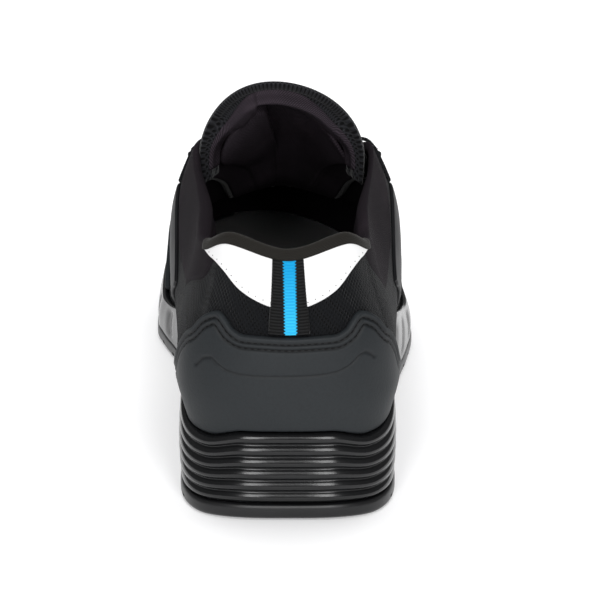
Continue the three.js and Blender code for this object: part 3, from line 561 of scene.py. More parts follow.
# Sandwich mesh: two offset lattices of small holes, opened and closed by slanting bands
def sandwichMesh(name, look):
    finish = clothFinish(name, look)
    u, v, _ = finish.parts("UV")
    u = u + finish.noise(0.09, 1, output="UV") * 1.6
    band = (u + v * 0.8).ridge(look["band"])
    hole = finish.lattice(u, v, look).step(0.02, 0.076, 1.0, 0.0) * (0.35 + band * 0.65)
    threads = (u + v * 1.7).ridge(look["thread"])
    cloth = finish.mix(threads, look["color"], look["lit"])
    # The holes are painted near black: painted shade in the openings
    finish.set("Base Color", finish.mix(hole, cloth, look["hole"]))
    finish.set("Roughness", look["roughness"] + hole * 0.1)
    finish.relief(threads * 0.25 - hole, look["depth"], 0.9)
    return finish.material


# Rib knit: fine wales along v with a slanting twist in each
def ribKnit(name, look):
    finish = clothFinish(name, look, 0.35)
    finish.set("Sheen Tint", (*look["tint"], 1))
    u, v, _ = finish.parts("UV")
    wale = (u + v * look["slant"]).ridge(look["pitch"])
    stitch = (v + u * 0.5).ridge(look["stitch"])
    cloudy, fuzz = finish.noise(45, 4), finish.noise(2600, 2)
    yarn = wale * (0.55 + stitch * 0.45)
    # Painted shade: the valleys between the yarns take the darker valley colour, where the relief is low
    tone = finish.mix(yarn, look["valleyShade"], look["color"])
    finish.set("Base Color", finish.mix(cloudy.step(0.45, 0.8, 0.0, 0.45), tone, look["tint"]))
    finish.set("Roughness", look["roughness"] - yarn * 0.06)
    finish.relief(yarn + fuzz * 0.35, look["depth"], 0.85)
    return finish.material


# Open spacer mesh: large rounded cells between raised cords
def spacerMesh(name, look):
    finish = clothFinish(name, look)
    u, v, _ = finish.parts("UV")
    hole = finish.lattice(u, v, look, 1.3).step(0.03, 0.1, 1.0, 0.0)
    cord = (u - v * 0.6).ridge(look["cord"])
    fuzz = finish.noise(1900, 3)
    cloth = finish.mix(cord * fuzz, look["color"], look["lit"])
    # The cells are painted near black: painted shade in the openings
    finish.set("Base Color", finish.mix(hole, cloth, look["hole"]))
    finish.relief(cord * 0.1 - hole + fuzz * 0.2, look["depth"], 0.6)
    return finish.material


# Plain or ribbed tape: ridges across v and yarns along u
def wovenTape(name, look):
    finish = clothFinish(name, look)
    u, v, _ = finish.parts("UV")
    ridge = v.ridge(look["ridge"])
    yarn = (u + v * look["slant"]).ridge(look["yarn"])
    fuzz = finish.noise(2400, 2)
    weave = ridge * 0.6 + yarn * 0.4
    # Painted shade: the valleys of the weave take the darker valley colour, where the relief is low
    finish.set("Base Color", finish.mix(weave, look["valleyShade"], look["color"]))
    finish.set("Roughness", look["roughness"] + (fuzz - 0.5) * 0.1)
    finish.relief(weave + fuzz * 0.2, look["depth"], 0.8)
    return finish.material


def pullTape(name, look):
    finish = Finish(name, look["color"], look["roughness"], Specular_IOR_Level=0.2, Sheen_Weight=0.08,
                    Sheen_Roughness=0.4)
    u, v, _ = finish.parts("UV")
    tooth = v.wave(look["rib"]) * look["tooth"]
    edge = (u.size() + tooth).step(look["stripe"] - 0.1, look["stripe"] + 0.1, 1.0, 0.0)
    ridge = v.ridge(look["rib"])
    yarn = u.ridge(0.42)
    # Painted shade: the troughs between the ribs are darker, in the black and in the blue stripe; the
    # blue is also lighter towards the bottom of the tab
    dark = finish.mix(ridge.step(0.1, 0.9), look["valleyShade"], look["color"])
    fall = v.step(0, 32)
    bright = finish.mix(fall, look["stripeLow"], look["stripeTop"])
    bright = finish.mix(ridge.step(0.0, 0.6, 0.35, 0.0), bright, look["stripeValleyShade"])
    finish.set("Base Color", finish.mix(edge, dark, bright))
    finish.set("Roughness", look["roughness"] + yarn * 0.05)
    finish.relief(yarn + finish.noise(2600, 2) * 0.4, 0.00006, 0.6)
    return finish.material


def reflectiveCloth(name, look):
    finish = Finish(name, look["color"], look["roughness"], Sheen_Weight=0.1)
    beads, cloudy = finish.cells(4200), finish.noise(40, 3)
    finish.set("Base Color", finish.mix(cloudy.step(0.4, 0.8), look["color"], look["worn"]))
    finish.set("Roughness", look["roughness"] + beads * 0.1)
    finish.relief(beads, 0.00003, 0.4)
    return finish.material


def smoothFilm(name, look):
    finish = Finish(name, look["color"], look["roughness"], IOR=1.4, Specular_IOR_Level=look["gloss"])
    cloudy, grain = finish.noise(60, 3), finish.cells(1500, "SMOOTH_F1")
    finish.set("Base Color", finish.mix(cloudy.step(0.4, 0.75), look["color"], look["worn"]))
    finish.set("Roughness", look["roughness"] + (cloudy - 0.5) * 0.12 + grain * 0.05)
    finish.relief(grain * -1, 0.00004, 0.5)
    return finish.material


def feltCloth(name, look):
    finish = Finish(name, look["color"], look["roughness"], Specular_IOR_Level=0.15, Sheen_Weight=0.3,
                    Sheen_Roughness=0.5)
    fibre, cloudy = finish.noise(1700, 5, 0.7), finish.noise(55, 4)
    finish.set("Base Color", finish.mix(fibre * cloudy, look["color"], look["worn"]))
    finish.relief(fibre, 0.00025, 0.8)
    return finish.material


soleLook = {"color": (0.0045, 0.0047, 0.0052), "worn": (0.007, 0.0072, 0.0078), "roughness": 0.19,
            "uneven": 0.06,
            "grain": 0.00003}
treadLook = {"color": (0.006, 0.0062, 0.0068), "worn": (0.010, 0.010, 0.0108), "roughness": 0.36,
             "uneven": 0.16,
             "grain": 0.00005}
counterLook = {"color": (0.0145, 0.0172, 0.0195), "worn": (0.0175, 0.0205, 0.0228),
               "valleyShade": (0.0082, 0.0098, 0.0113),
               # The groove colour is painted shade in the grooves and the pressed line, laid on at 0.8
               # strength
               "groove": (0.003, 0.0032, 0.0036), "pressed": 0.8, "roughness": 0.6, "gloss": 0.3,
               "grain": 0.00007}
meshLook = {"color": (0.0028, 0.0033, 0.0042), "lit": (0.0085, 0.0092, 0.011),
            "hole": (0.0003, 0.0003, 0.0004),
            "roughness": 0.85, "sheen": 0.07, "pitch": 1.55, "drop": 2.1, "band": 7.5, "thread": 0.62,
            "depth": 0.0005}
knitLook = {"color": (0.0178, 0.0136, 0.0176), "valleyShade": (0.0045, 0.0036, 0.0046),
            "tint": (0.024, 0.0172, 0.0228),
            "roughness": 0.9, "sheen": 0.12, "pitch": 0.75, "slant": 0.55, "stitch": 0.9,
            "depth": 0.00022}
# The tongue's lining is the rib knit made about three times lighter: painted light inside the tongue,
# where little light reaches
tongueKnitPaintedLightLook = dict(knitLook, color=(0.052, 0.040, 0.052), valleyShade=(0.014, 0.0112, 0.014),
                      tint=(0.062, 0.046, 0.059))
spacerLook = {"color": (0.011, 0.0112, 0.0135), "lit": (0.032, 0.032, 0.036),
              "hole": (0.0012, 0.0012, 0.0015),
              "roughness": 0.85, "sheen": 0.15, "pitch": 1.15, "drop": 1.6, "cord": 0.6, "depth": 0.0002}
bindingLook = {"color": (0.0205, 0.0185, 0.0155), "valleyShade": (0.007, 0.0063, 0.0055), "roughness": 0.82,
               "sheen": 0.1,
               "ridge": 0.55, "yarn": 0.9, "slant": 0.7, "depth": 0.00012}
laceLook = {"color": (0.020, 0.020, 0.022), "valleyShade": (0.005, 0.005, 0.006), "roughness": 0.85,
            "sheen": 0.1,
            "ridge": 1.3, "yarn": 1.1, "slant": 1.0, "depth": 0.00025}
threadLook = {"color": (0.004, 0.004, 0.0045), "valleyShade": (0.0015, 0.0015, 0.0015), "roughness": 0.6,
              "sheen": 0.0,
              "ridge": 0.4, "yarn": 0.5, "slant": 0.5, "depth": 0.00005}
tapeLook = {"color": (0.010, 0.010, 0.0105), "valleyShade": (0.0018, 0.0018, 0.0018), "roughness": 0.78,
            "rib": 1.08,
            "stripe": 2.1, "tooth": 0.3, "stripeTop": (0.0, 0.30, 0.62), "stripeLow": (0.035, 0.50, 0.82),
            "stripeValleyShade": (0.0, 0.21, 0.50)}
panelLook = {"color": (0.84, 0.84, 0.84), "worn": (0.79, 0.79, 0.80), "roughness": 0.55}
filmLook = {"color": (0.008, 0.0083, 0.0093), "worn": (0.010, 0.010, 0.011), "roughness": 0.48,
            "gloss": 0.12}
# The footbed's near-black colour is partly its own and partly painted shade, darkened for the deep inside
# of the shoe
feltLook = {"color": (0.0025, 0.0025, 0.003), "worn": (0.009, 0.009, 0.010), "roughness": 0.95}

finishes = {
    "sole": polyurethane("blackPolyurethane", soleLook),
    "tread": polyurethane("blackRubber", treadLook),
    "counter": coatedLeather("greyCoatedLeather", counterLook),
    "mesh": sandwichMesh("blackSandwichMesh", meshLook),
    "knit": ribKnit("plumRibKnit", knitLook),
    "tongueKnitPaintedLight": ribKnit("plumTongueKnitPaintedLight", tongueKnitPaintedLightLook),
    "spacer": spacerMesh("openSpacerMesh", spacerLook),
    "binding": wovenTape("oliveBinding", bindingLook),
    "lace": wovenTape("blackLace", laceLook),
    "thread": wovenTape("blackThread", threadLook),
    "tape": pullTape("ribbedPullTape", tapeLook),
    "panel": reflectiveCloth("whiteReflective", panelLook),
    "film": smoothFilm("blackFilm", filmLook),
    "felt": feltCloth("blackFeltWithPaintedShade", feltLook),
}
print("materials ready")


def fit(piece, finish, slot, *nodes):
    piece.data.materials.clear()
    piece.data.materials.append(finishes[finish])
    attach(piece, "root")
    if nodes:
        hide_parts(*nodes)
    return piece


# Midsole: rows run from the middle of the underside, up the ribbed wall, over the rim and into the cup
midsoleForm = {"ribs": 6, "ribDepth": 1.6, "ribPower": 2.0, "cornerDepth": 0.5, "bulge": 0.8,
               "inset": 0.6,
               "fadeStart": 75, "fadeEnd": 135, "taper": 2, "taperStart": 130, "taperEnd": 178,
               "rimRound": 1.2,
               "grooveDepth": 1.1, "grooves": [(104, 0.34, 3), (128, 0.34, 3), (152, 0.34, 2.6),
                                               (176, 0.3, 2.4),
                                               (200, 0.25, 2.2), (224, 0.2, 2)]}


def rollTop(y):
    return groundLine(y) + ground["thickness"]


def midsole():
    form = midsoleForm
    rings = ringsRound(70, 64, 50)
    ring = wrapRing(rings)
    around = np.abs(ring)
    radius = soleRadius(ring)
    y = lengthAt(ring, radius)
    fade = 1 - smooth(ringAt(form["fadeStart"]), ringAt(form["fadeEnd"]), around)
    fade = fade * between(1, form["cornerDepth"], smooth(0.42, 0.8, around))
    taper = form["taper"] * smooth(ringAt(form["taperStart"]), ringAt(form["taperEnd"]), around)
    low, high = rollTop(y) + cup["gap"], wallTop(around)
    rows = []
    for share in (0, 0.5, 0.9):
        rows.append(place(ring, radius * share, low + 0 * ring))
    for step in np.linspace(0, 1, form["ribs"] * 12 + 1):
        within = (step * form["ribs"]) % 1
        rib = form["ribDepth"] * np.abs(2 * within - 1) ** form["ribPower"] * fade
        height = between(low, high, step)
        inset = form["inset"] - form["bulge"] * math.sin(math.pi * step) + taper * step
        for middle, lean, width in form["grooves"]:
            centre = middle + (height - 12) * lean
            dip = hump(y, centre, width) * smooth(0.05, 0.25,
                                                                step) * (1 - smooth(0.72, 0.95, step))
            rib = rib + form["grooveDepth"] * dip * (around > 1) * (around < 2.4)
        rim = form["rimRound"] * (1 - math.sqrt(max(0, 1 - max(0, (step - 0.955) / 0.045) ** 2)))
        rows.append(place(ring, radius - inset - rib - rim, height))
    covered = cupShare(ring)
    for depth in (1, 0.75, 0.5, 0.25, 0):
        rows.append(upperOffset(ring, covered * depth, cup["gap"] * 0.5))
    base = rows[-1]
    for share in (0.9, 0.5, 0):
        rows.append(place(ring, (radius - cup["wall"]) * share, base[:, 2]))
    points = np.array(rows)
    return gridPiece("midsole_wall", points, layOut(points, 0))


fit(midsole(), "sole", "midsole", "midsole")
print("midsole made")

# Outsole: a slab with a rolled edge, cut by swept grooves
outsoleForm = {"inset": 0.2, "round": 2.3, "grooveDepth": 2.6, "grooveWidth": 3.2, "groovePitch": 15,
               "sweep": 7,
               "margin": 9}


def outsole():
    form = outsoleForm
    rings = ringsRound(60, 60, 50)
    ring = wrapRing(rings)
    radius = soleRadius(ring) - form["inset"]
    edge = lengthAt(ring, radius)
    low, high = groundLine(edge), rollTop(edge)
    rows = []
    for share in (0, 0.3, 0.6, 0.85):
        inside = (radius - form["round"]) * share
        rows.append(place(ring, inside, groundLine(lengthAt(ring, inside))))
    for angle in np.linspace(0, quarter, 9):
        reach = form["round"] * (1 - math.sin(angle))
        rows.append(place(ring, radius - reach, low + form["round"] * 0.85 * (1 - math.cos(angle))))
    for angle in np.linspace(0.15, quarter, 6):
        reach = 1.1 * (1 - math.cos(angle))
        rows.append(place(ring, radius - reach,
                          between(low + form["round"] * 0.85, high, 0.45 + 0.55 * math.sin(angle))))
    for share in (0.85, 0.5, 0):
        rows.append(place(ring, radius * share, high))
    return gridPiece("outsole_tread", np.array(rows))


def treadCutter():
    form = outsoleForm
    half = sole["ballWidth"]
    count = 0
    y = form["margin"] + form["groovePitch"] / 2
    cutters = []
    while y < sole["length"] - form["margin"]:
        rows = []
        top = groundLine(np.float64(y)) + form["grooveDepth"]
        for side in (0, 1):
            for height in ((top, -30) if side == 0 else (-30, top)):
                inset = 0.35 if height == top else 0
                line = []
                for x, lead in ((-half, -1), (0, 1), (half, -1)):
                    along = y + lead * form["sweep"] + side * form["grooveWidth"]
                    along += inset if side == 0 else -inset
                    line.append((x, along, height))
                rows.append(line)
        rows.append(rows[0])
        block = gridPiece(f"cutter{count}", np.array(rows, float))
        activate(block)
        bpy.ops.object.mode_set(mode="EDIT")
        bpy.ops.mesh.select_all(action="SELECT")
        bpy.ops.mesh.fill_holes(sides=0)
        bpy.ops.mesh.select_all(action="SELECT")
        bpy.ops.mesh.normals_make_consistent(inside=False)
        bpy.ops.object.mode_set(mode="OBJECT")
        cutters.append(block)
        count += 1
        y += form["groovePitch"]
    return joined("treadCutter", cutters)


def joined(name, pieces):
    deselectAll()
    for piece in pieces:
        piece.select_set(True)
    bpy.context.view_layer.objects.active = pieces[0]
    bpy.ops.object.join()
    pieces[0].name = name
    return pieces[0]


def cutAway(piece, cutter, keep=False):
    activate(piece)
    cut = piece.modifiers.new("cut", "BOOLEAN")
    cut.operation = "DIFFERENCE"
    cut.solver = "EXACT"
    cut.object = cutter
    bpy.ops.object.modifier_apply(modifier=cut.name)
    if not keep:
        bpy.data.objects.remove(cutter, do_unlink=True)
    return piece


def smoothByAngle(piece, degrees):
    activate(piece)
    bpy.ops.object.shade_smooth_by_angle(angle=math.radians(degrees))
    return piece


tread = cutAway(outsole(), treadCutter())
fit(smoothByAngle(tread, 35), "tread", "outsole", "outsole")
print("outsole made")

# Insole: fills the cup's floor, with a raised edge round the heel
insoleForm = {"heel": 5, "toe": 4, "lip": 2.2}


def insole():
    ring = wrapRing(ringsRound(40, 40, 36))
    thickness = between(insoleForm["heel"], insoleForm["toe"], smooth(1, 2, np.abs(ring)))
    bottom = upperPoint(ring, np.zeros(ring.shape))[:, 2]
    rows = []
    for level in (0, 0.35, 0.7, 1):
        share = shareAtHeight(ring, bottom + thickness * level)
        rows.append(upperOffset(ring, share, -shaft["wall"] - cup["gap"]))
    radius = np.hypot(*(rows[-1] - place(ring, 0 * ring, rows[-1][:, 2]))[:, :2].T)
    under = []
    for share in (0, 0.5):
        under.append(place(ring, radius * share, rows[0][:, 2]))
    over = []
    for share in (0.97, 0.9, 0.8, 0.65, 0.45, 0.22, 0):
        dip = insoleForm["lip"] * (1 - smooth(0.72, 1, share)) * (1 - smooth(1.2, 1.9, np.abs(ring)))
        over.append(place(ring, radius * share, rows[-1][:, 2] - dip))
    points = np.array(under + rows + over)
    return gridPiece("footbed", points)


fit(insole(), "felt", "insole", "insole")
print("insole made")

# Upper: mesh body, and the knit lining that rolls over the collar and goes down inside
bodyForm = {"thickness": 1.3, "rows": 52, "underSeam": 0.72,
            "flex": [(1.86, 0.5, 0.035), (1.93, 0.65, 0.035), (2.0, 0.45, 0.04)]}
liningForm = {"puffInner": 0.8, "puffOuter": 0.2, "seamRound": 3.5, "seamDip": 0.5, "inside": 0.2,
              "outerRows": 18, "arcRows": 7, "innerRows": 34, "hiddenRows": 12, "behind": 0.15,
              "hem": 0.02}
# Depth of the seam below the edge: heel, flank and front, for the outer and the inner side
seamRows = [(0, 1.2, 1.2), (0.5, 1.2, 1.2), (0.56, 1.6, 9), (0.62, 2.4, 12.6), (0.66, 8, 13.4),
            (0.72, 11.6, 14.2),
            (0.85, 16.5, 16), (1.075, 24.7, 22), (1.25, 27, 26),
            (1.38, 20, 20), (1.47, 7, 7), (1.55, 1.2, 1.2), (3, 1.2, 1.2)]
seamOuter, seamInner = curve(seamRows, 1), curve(seamRows, 2)


def seamDepth(ring):
    ring = wrapRing(ring)
    return np.where(ring < 0, seamInner(np.abs(ring)), seamOuter(np.abs(ring)))


def flexDip(ring, share):
    around = np.abs(wrapRing(ring))
    dip = 0
    for middle, depth, width in bodyForm["flex"]:
        dip = dip + depth * hump(around + share * 0.12 - 0.08, middle, width)
    return dip * smooth(0.35, 0.7, share)


def meshBody():
    ring = wrapRing(ringsRound(64, 62, 50))[None, :]
    top = shareAtDepth(ring, seamDepth(ring) * bodyForm["underSeam"])
    share, ring = np.broadcast_arrays(np.linspace(0, 1, bodyForm["rows"])[:, None] * top, ring)
    outer = upperOffset(ring, share, -flexDip(ring, share))
    inner = upperOffset(ring, share, -bodyForm["thickness"])
    pattern = layOut(outer)
    return gridPiece("mesh_body", bothFaces(outer, inner, True), bothFaces(pattern, pattern, True))


def collarSection(ring, lowOuter, lowInner, outerRows, arcRows, innerRows):
    ring = np.asarray(ring, float)[None, :]
    shares = between(lowOuter[None, :], 1, np.linspace(0, 1, outerRows)[:, None])
    outer = upperPoint(ring, shares)
    innerShares = between(0.985, lowInner[None, :], np.linspace(0, 1, innerRows)[:, None])
    ringGrid = np.broadcast_to(ring, innerShares.shape)
    inner = upperOffset(ringGrid, innerShares, -wallThickness(ringGrid, innerShares))
    start, end = outer[-1], inner[0]
    width = np.linalg.norm(end - start, axis=-1, keepdims=True)
    arc = []
    for t in np.linspace(0, 1, arcRows + 2)[1:-1]:
        lift = np.array([0, 0, 1]) * np.sin(math.pi * t) * width * 0.32
        arc.append(between(start, end, (1 - math.cos(math.pi * t)) / 2) + lift)
    return outer, np.array(arc), inner


def collarLining():
    form = liningForm
    outerRows, puffRows = form["outerRows"], form["outerRows"] + form["arcRows"]
    ring = wrapRing(ringsRound(64, 70, 36))
    low = shareAtDepth(ring, seamDepth(ring))
    hem = np.full(ring.shape, form["hem"])
    outer, arc, inner = collarSection(ring, low, hem, outerRows, form["arcRows"], form["innerRows"])
    points = np.concatenate([outer, arc, inner])
    normals = gridNormals(points, True)
    depth = seamDepth(ring)
    fromSeam = np.linspace(0, 1, outerRows)[:, None] * depth[None, :]
    flank = smooth(np.where(ring < 0, 0.5, 0.6), np.where(ring < 0, 0.62, 0.72), np.abs(ring))
    flank = flank * (1 - smooth(1.4, 1.55, np.abs(ring)))
    rise = rolled(fromSeam / form["seamRound"])
    puff = np.zeros(points.shape[:2])
    full = np.where(ring < 0, form["puffInner"], form["puffOuter"]) * flank
    puff[:outerRows] = full * rise - form["seamDip"] * (1 - rise)
    puff[outerRows:puffRows] = full * 0.75
    puff[puffRows:] = form["inside"]
    shaped = points + normals * puff[..., None]
    hidden = []
    for t in np.linspace(0, 1, form["hiddenRows"]):
        hidden.append(upperOffset(ring, between(hem, low, t),
                                  -bodyForm["thickness"] - form["behind"]))
    shaped = np.concatenate([shaped, np.array(hidden), shaped[:1]])
    return gridPiece("knit_lining", shaped, layOut(shaped, 22))


body = fit(meshBody(), "mesh", "mesh", "upper")
lining = fit(collarLining(), "knit", "lining", "upper")
print("upper made")


# Overlays: a pillow-edged sheet over the upper between a lower and an upper share of its profile
nearEdge = np.array([0, 0.12, 0.35, 0.7, 1.2, 2.0, 3.0])


def spread(length, step):
    near = nearEdge * min(1, length / (2.6 * nearEdge[-1]))
    count = max(2, int(round((length - 2 * near[-1]) / step)))
    return np.concatenate([near, np.linspace(near[-1], length - near[-1], count + 1)[1:-1],
                           (length - near)[::-1]])


def nearest(points, targets):
    flat = points.reshape(-1, 3)
    least = np.full(len(flat), 1e9)
    for start in range(0, len(targets), 60):
        gap = flat[:, None, :] - targets[None, start:start + 60, :]
        least = np.minimum(least, np.sqrt((gap ** 2).sum(-1)).min(1))
    return least.reshape(points.shape[:-1])


def overlay(name, ringFrom, ringTo, lower, upper, thickness, rounding, step=0.9, rows=24, relief=None,
            gap=None,
            topDense=1.0, grooveShade=None):
    gap = cup["gap"] if gap is None else gap
    fine = np.linspace(ringFrom, ringTo, 400)
    line = upperPoint(fine, (lower(fine) + upper(fine)) / 2)
    run = runLength(line, 0)
    ring = np.interp(spread(run[-1], step), run, fine)
    low, high = lower(ring), np.maximum(lower(ring) + 1e-4, upper(ring))
    length = runLength(upperPoint(ring[None, :], between(low, high, np.linspace(0, 1, 9)[:, None])),
                       0)[-1]
    scale = np.minimum(1, length / (2.6 * nearEdge[-1]))
    near = nearEdge[:, None] * scale[None, :]
    upwards = 1 - (1 - np.linspace(0, 1, rows - 2 * len(nearEdge) + 2)[1:-1, None]) ** topDense
    middle = between(near[-1], length - near[-1], upwards)
    along = np.concatenate([near, middle, (length - near)[::-1]]) / length
    share = between(low[None, :], high[None, :], along)
    ringGrid, share = np.broadcast_arrays(ring[None, :], share)
    base, normals = upperPoint(ringGrid, share), upperNormal(ringGrid, share)
    border = np.concatenate([base[0], base[-1], base[:, 0], base[:, -1]])
    fromBorder, fromTop = nearest(base, border), nearest(base, base[-1])
    rounded = rolled(fromBorder / rounding)
    height = gap * 0.2 + (thickness + gap * 0.8) * rounded
    if relief is not None:
        height = height + relief(base, fromTop, fromBorder) * rounded
    top = base + normals * height[..., None]
    under = np.unique(np.append(np.arange(0, rows, 5), rows - 1))[::-1]
    under = under[under < len(top)]
    bottom = base[under] + normals[under] * (gap * 0.2)
    points = np.concatenate([top, bottom])
    pattern = layOut(top)
    # Painted shade: a mask of the grooves can take the place of the pattern's u, to darken them in the
    # colour
    if grooveShade is not None:
        pattern = np.stack([grooveShade(base, fromTop), pattern[..., 1]], -1)
    piece = gridPiece(name, points, np.concatenate([pattern, pattern[under]]))
    return piece, {"top": top, "normals": normals, "fromTop": fromTop, "fromBorder": fromBorder}


# A line across the columns of an overlay at a distance from its top edge, from one end to the other
def seamLine(sheet, distance):
    points, normals = [], []
    rows = sheet["top"].shape[0]
    for column in range(sheet["top"].shape[1]):
        away = sheet["fromTop"][:, column]
        if away[0] < distance * 1.15:
            continue
        row = rows - 1
        while row > 0 and away[row] < distance:
            row -= 1
        t = (distance - away[row + 1]) / max(1e-6, away[row] - away[row + 1]) if row < rows - 1 else 0
        points.append(between(sheet["top"][min(rows - 1, row + 1), column], sheet["top"][row, column], t))
        normals.append(sheet["normals"][row, column])
    return np.array(points), np.array(normals)


stitchForm = {"length": 1.7, "width": 0.7, "height": 0.5, "pitch": 2.35}


def spotOn(values, run, at):
    return np.array([np.interp(at, run, values[:, k]) for k in range(3)])


# Threads that lie along lines: one shape, set down at every pitch and joined in one mesh
def stitchRun(name, runs, form=stitchForm, sink=0.1, finish="thread", slot="counter"):
    deselectAll()
    bpy.ops.mesh.primitive_uv_sphere_add(segments=8, ring_count=5, radius=0.5)
    seed = bpy.context.object
    shape = np.array([tuple(v.co) for v in seed.data.vertices]) * [form["width"], form["height"],
                                                                   form["length"]]
    faces = [tuple(p.vertices) for p in seed.data.polygons]
    bpy.data.objects.remove(seed, do_unlink=True)
    places, allFaces = [], []
    for points, normals in runs:
        run = runLength(points, 0)
        for at in np.arange(form["pitch"] / 2, run[-1], form["pitch"]):
            centre = spotOn(points, run, at)
            out = unit(spotOn(normals, run, at))
            along = unit(spotOn(points, run, at + 0.5) - spotOn(points, run, at - 0.5))
            side = unit(np.cross(out, along))
            out = np.cross(along, side)
            start = len(places) * len(shape)
            places.append(centre - out * sink + shape @ np.array([side, out, along]))
            allFaces += [tuple(i + start for i in face) for face in faces]
    placed = (np.concatenate(places) + origin) / 1000
    mesh = bpy.data.meshes.new(name)
    mesh.from_pydata(placed.tolist(), [], allFaces)
    piece = bpy.data.objects.new(name, mesh)
    bpy.context.scene.collection.objects.link(piece)
    activate(piece)
    bpy.ops.object.mode_set(mode="EDIT")
    bpy.ops.mesh.select_all(action="SELECT")
    bpy.ops.mesh.normals_make_consistent(inside=False)
    bpy.ops.object.mode_set(mode="OBJECT")
    bpy.ops.object.shade_smooth()
    return fit(piece, finish, slot)


def aboveRim(ring):
    return shareAtHeight(ring, wallTop(np.abs(wrapRing(ring))) + cup["gap"])


# Heel counter: two peaks at the corners, a rolled rim, two stitched grooves and a pressed line below them
counterForm = {"thickness": 1.8, "middle": 68.7, "peak": 76.1, "end": 41, "reach": 60, "round": 1.3,
               "firstGroove": 2.5, "secondGroove": 4.6, "grooveWidth": 0.6, "grooveDepth": 0.65,
               "lineDepth": 0.5, "lineWidth": 0.42, "thinInner": 1.1, "thinOuter": 0.5, "thinStart": 14,
               "thinEnd": 28,
               "rimRise": 0.35, "rimAt": 1.15, "rimWidth": 0.85, "lineShade": 0.7,
               "pressedLine": [(-30.7, 56.2), (-28.3, 59.5), (-25.6, 60.2), (-24, 58.6), (-21, 56.6),
                               (-16.2, 55.5),
                               (-8.9, 55.2), (0.8, 55.2), (9.3, 55.5), (17.2, 56.4), (21.4, 58.4),
                               (24.4, 61.4),
                               (26.3, 62.3), (28.1, 61.2), (29.3, 59.6)]}
counterRows = [(0, 0, 0), (0.15, 0, 0.05), (0.255, 0, 0.09), (0.311, 0, 0.28), (0.361, 0, 0.7),
               (0.395, 0, 0.93),
               (0.42, 0, 1), (0.45, 0, 0.95), (0.485, 0, 0.8), (0.524, 0, 0.57), (0.605, 0.05, 0),
               (0.72, 0.3, 0),
               (0.82, 0.6, 0), (0.91, 0.73, 0), (1.12, 1, 0)]
counterDrop, counterPeak = curve(counterRows, 1), curve(counterRows, 2)


def counterTop(ring):
    around = np.abs(ring)
    form = counterForm
    height = between(form["middle"], form["end"], counterDrop(around))
    return shareAtHeight(ring, height + (form["peak"] - form["middle"]) * counterPeak(around))


# How far a place is pressed in: the two grooves below the edge, then the curved line
def counterPress(base, fromTop):
    form = counterForm
    grooves = 0 * fromTop
    for at in (form["firstGroove"], form["secondGroove"]):
        grooves = grooves + hump(fromTop, at, form["grooveWidth"])
    knots = np.array(form["pressedLine"])
    t = np.linspace(0, len(knots) - 1, 240)
    path = np.stack([np.interp(t, range(len(knots)), knots[:, k]) for k in (0, 1)], -1)
    for _ in range(16):
        path[1:-1] = (path[:-2] + path[2:] + 2 * path[1:-1]) / 4
    flat = base[..., [0, 2]].reshape(-1, 1, 2)
    away = np.sqrt(((flat - path[None]) ** 2).sum(-1)).min(1).reshape(base.shape[:2])
    away = np.where(base[..., 1] < 30, away, 99)
    return grooves, hump(away, 0, form["lineWidth"])


def counterRelief(base, fromTop, fromBorder):
    form = counterForm
    grooves, line = counterPress(base, fromTop)
    relief = form["rimRise"] * hump(fromTop, form["rimAt"], form["rimWidth"])
    relief = relief - form["grooveDepth"] * grooves - form["lineDepth"] * line
    x, y = base[..., 0], base[..., 1]
    side = np.where(x < -sole["inflare"] * spine(y / sole["length"]), form["thinInner"],
                    form["thinOuter"])
    return relief - side * smooth(form["thinStart"], form["thinEnd"], y)


# Painted shade for the counter's colour: full in the grooves and weaker along the pressed line
def counterGrooveShade(base, fromTop):
    grooves, line = counterPress(base, fromTop)
    return np.minimum(1, grooves + line * counterForm["lineShade"])


end = ringAt(counterForm["reach"])
counter, sheet = overlay("heel_counter_shell", -end, end, aboveRim, counterTop, counterForm["thickness"],
                         counterForm["round"], step=0.5, rows=110, relief=counterRelief, topDense=1.3,
                         grooveShade=counterGrooveShade)
fit(counter, "counter", "counter", "heel_counter")
stitchRun("counter_stitches", [seamLine(sheet, counterForm["firstGroove"]),
                               seamLine(sheet, counterForm["secondGroove"])])
print("counter made")

# Toe guard
guardForm = {"thickness": 1.8, "height": 47, "start": 205, "round": 1.3, "groove": 2.6,
             "grooveDepth": 0.5, "grooveWidth": 0.4}
guardFrom = 2 + math.asin((guardForm["start"] - toeCentre) / shaft["toeFront"]) / quarter


def guardTop(ring):
    around = np.abs(wrapRing(ring))
    rim = wallTop(around) + cup["gap"] + guardForm["thickness"]
    rise = np.sin(quarter * smooth(guardFrom, 3, around) ** 0.6)
    return shareAtHeight(ring, between(rim, guardForm["height"], rise))


def guardRelief(base, fromTop, fromBorder):
    return -guardForm["grooveDepth"] * guardGrooveAndShade(base, fromTop)


# The groove's profile: it presses the groove in and also lays painted shade in it
def guardGrooveAndShade(base, fromTop):
    return hump(fromTop, guardForm["groove"], guardForm["grooveWidth"])


guard, sheet = overlay("toe_guard_shell", guardFrom, 6 - guardFrom, aboveRim, guardTop,
                       guardForm["thickness"],
                       guardForm["round"], step=1.2, rows=44, relief=guardRelief, grooveShade=guardGrooveAndShade)
fit(guard, "counter", "counter", "toe_guard")
stitchRun("guard_stitches", [seamLine(sheet, guardForm["groove"])])

# Lace facing, its holes and eyelets
facingForm = {"thickness": 1.2, "start": 113, "width": 17, "edge": 1.5, "round": 0.9, "groove": 1.6,
              "grooveDepth": 0.35, "grooveWidth": 0.35}
eyeletForm = {"count": 5, "radius": 2.2, "fromEdge": 8.5, "first": 122, "last": 194, "wire": 0.55}
facingFrom = ringAt(facingForm["start"])


def facingRelief(base, fromTop, fromBorder):
    form = facingForm
    return -form["grooveDepth"] * hump(fromBorder, form["groove"], form["grooveWidth"])


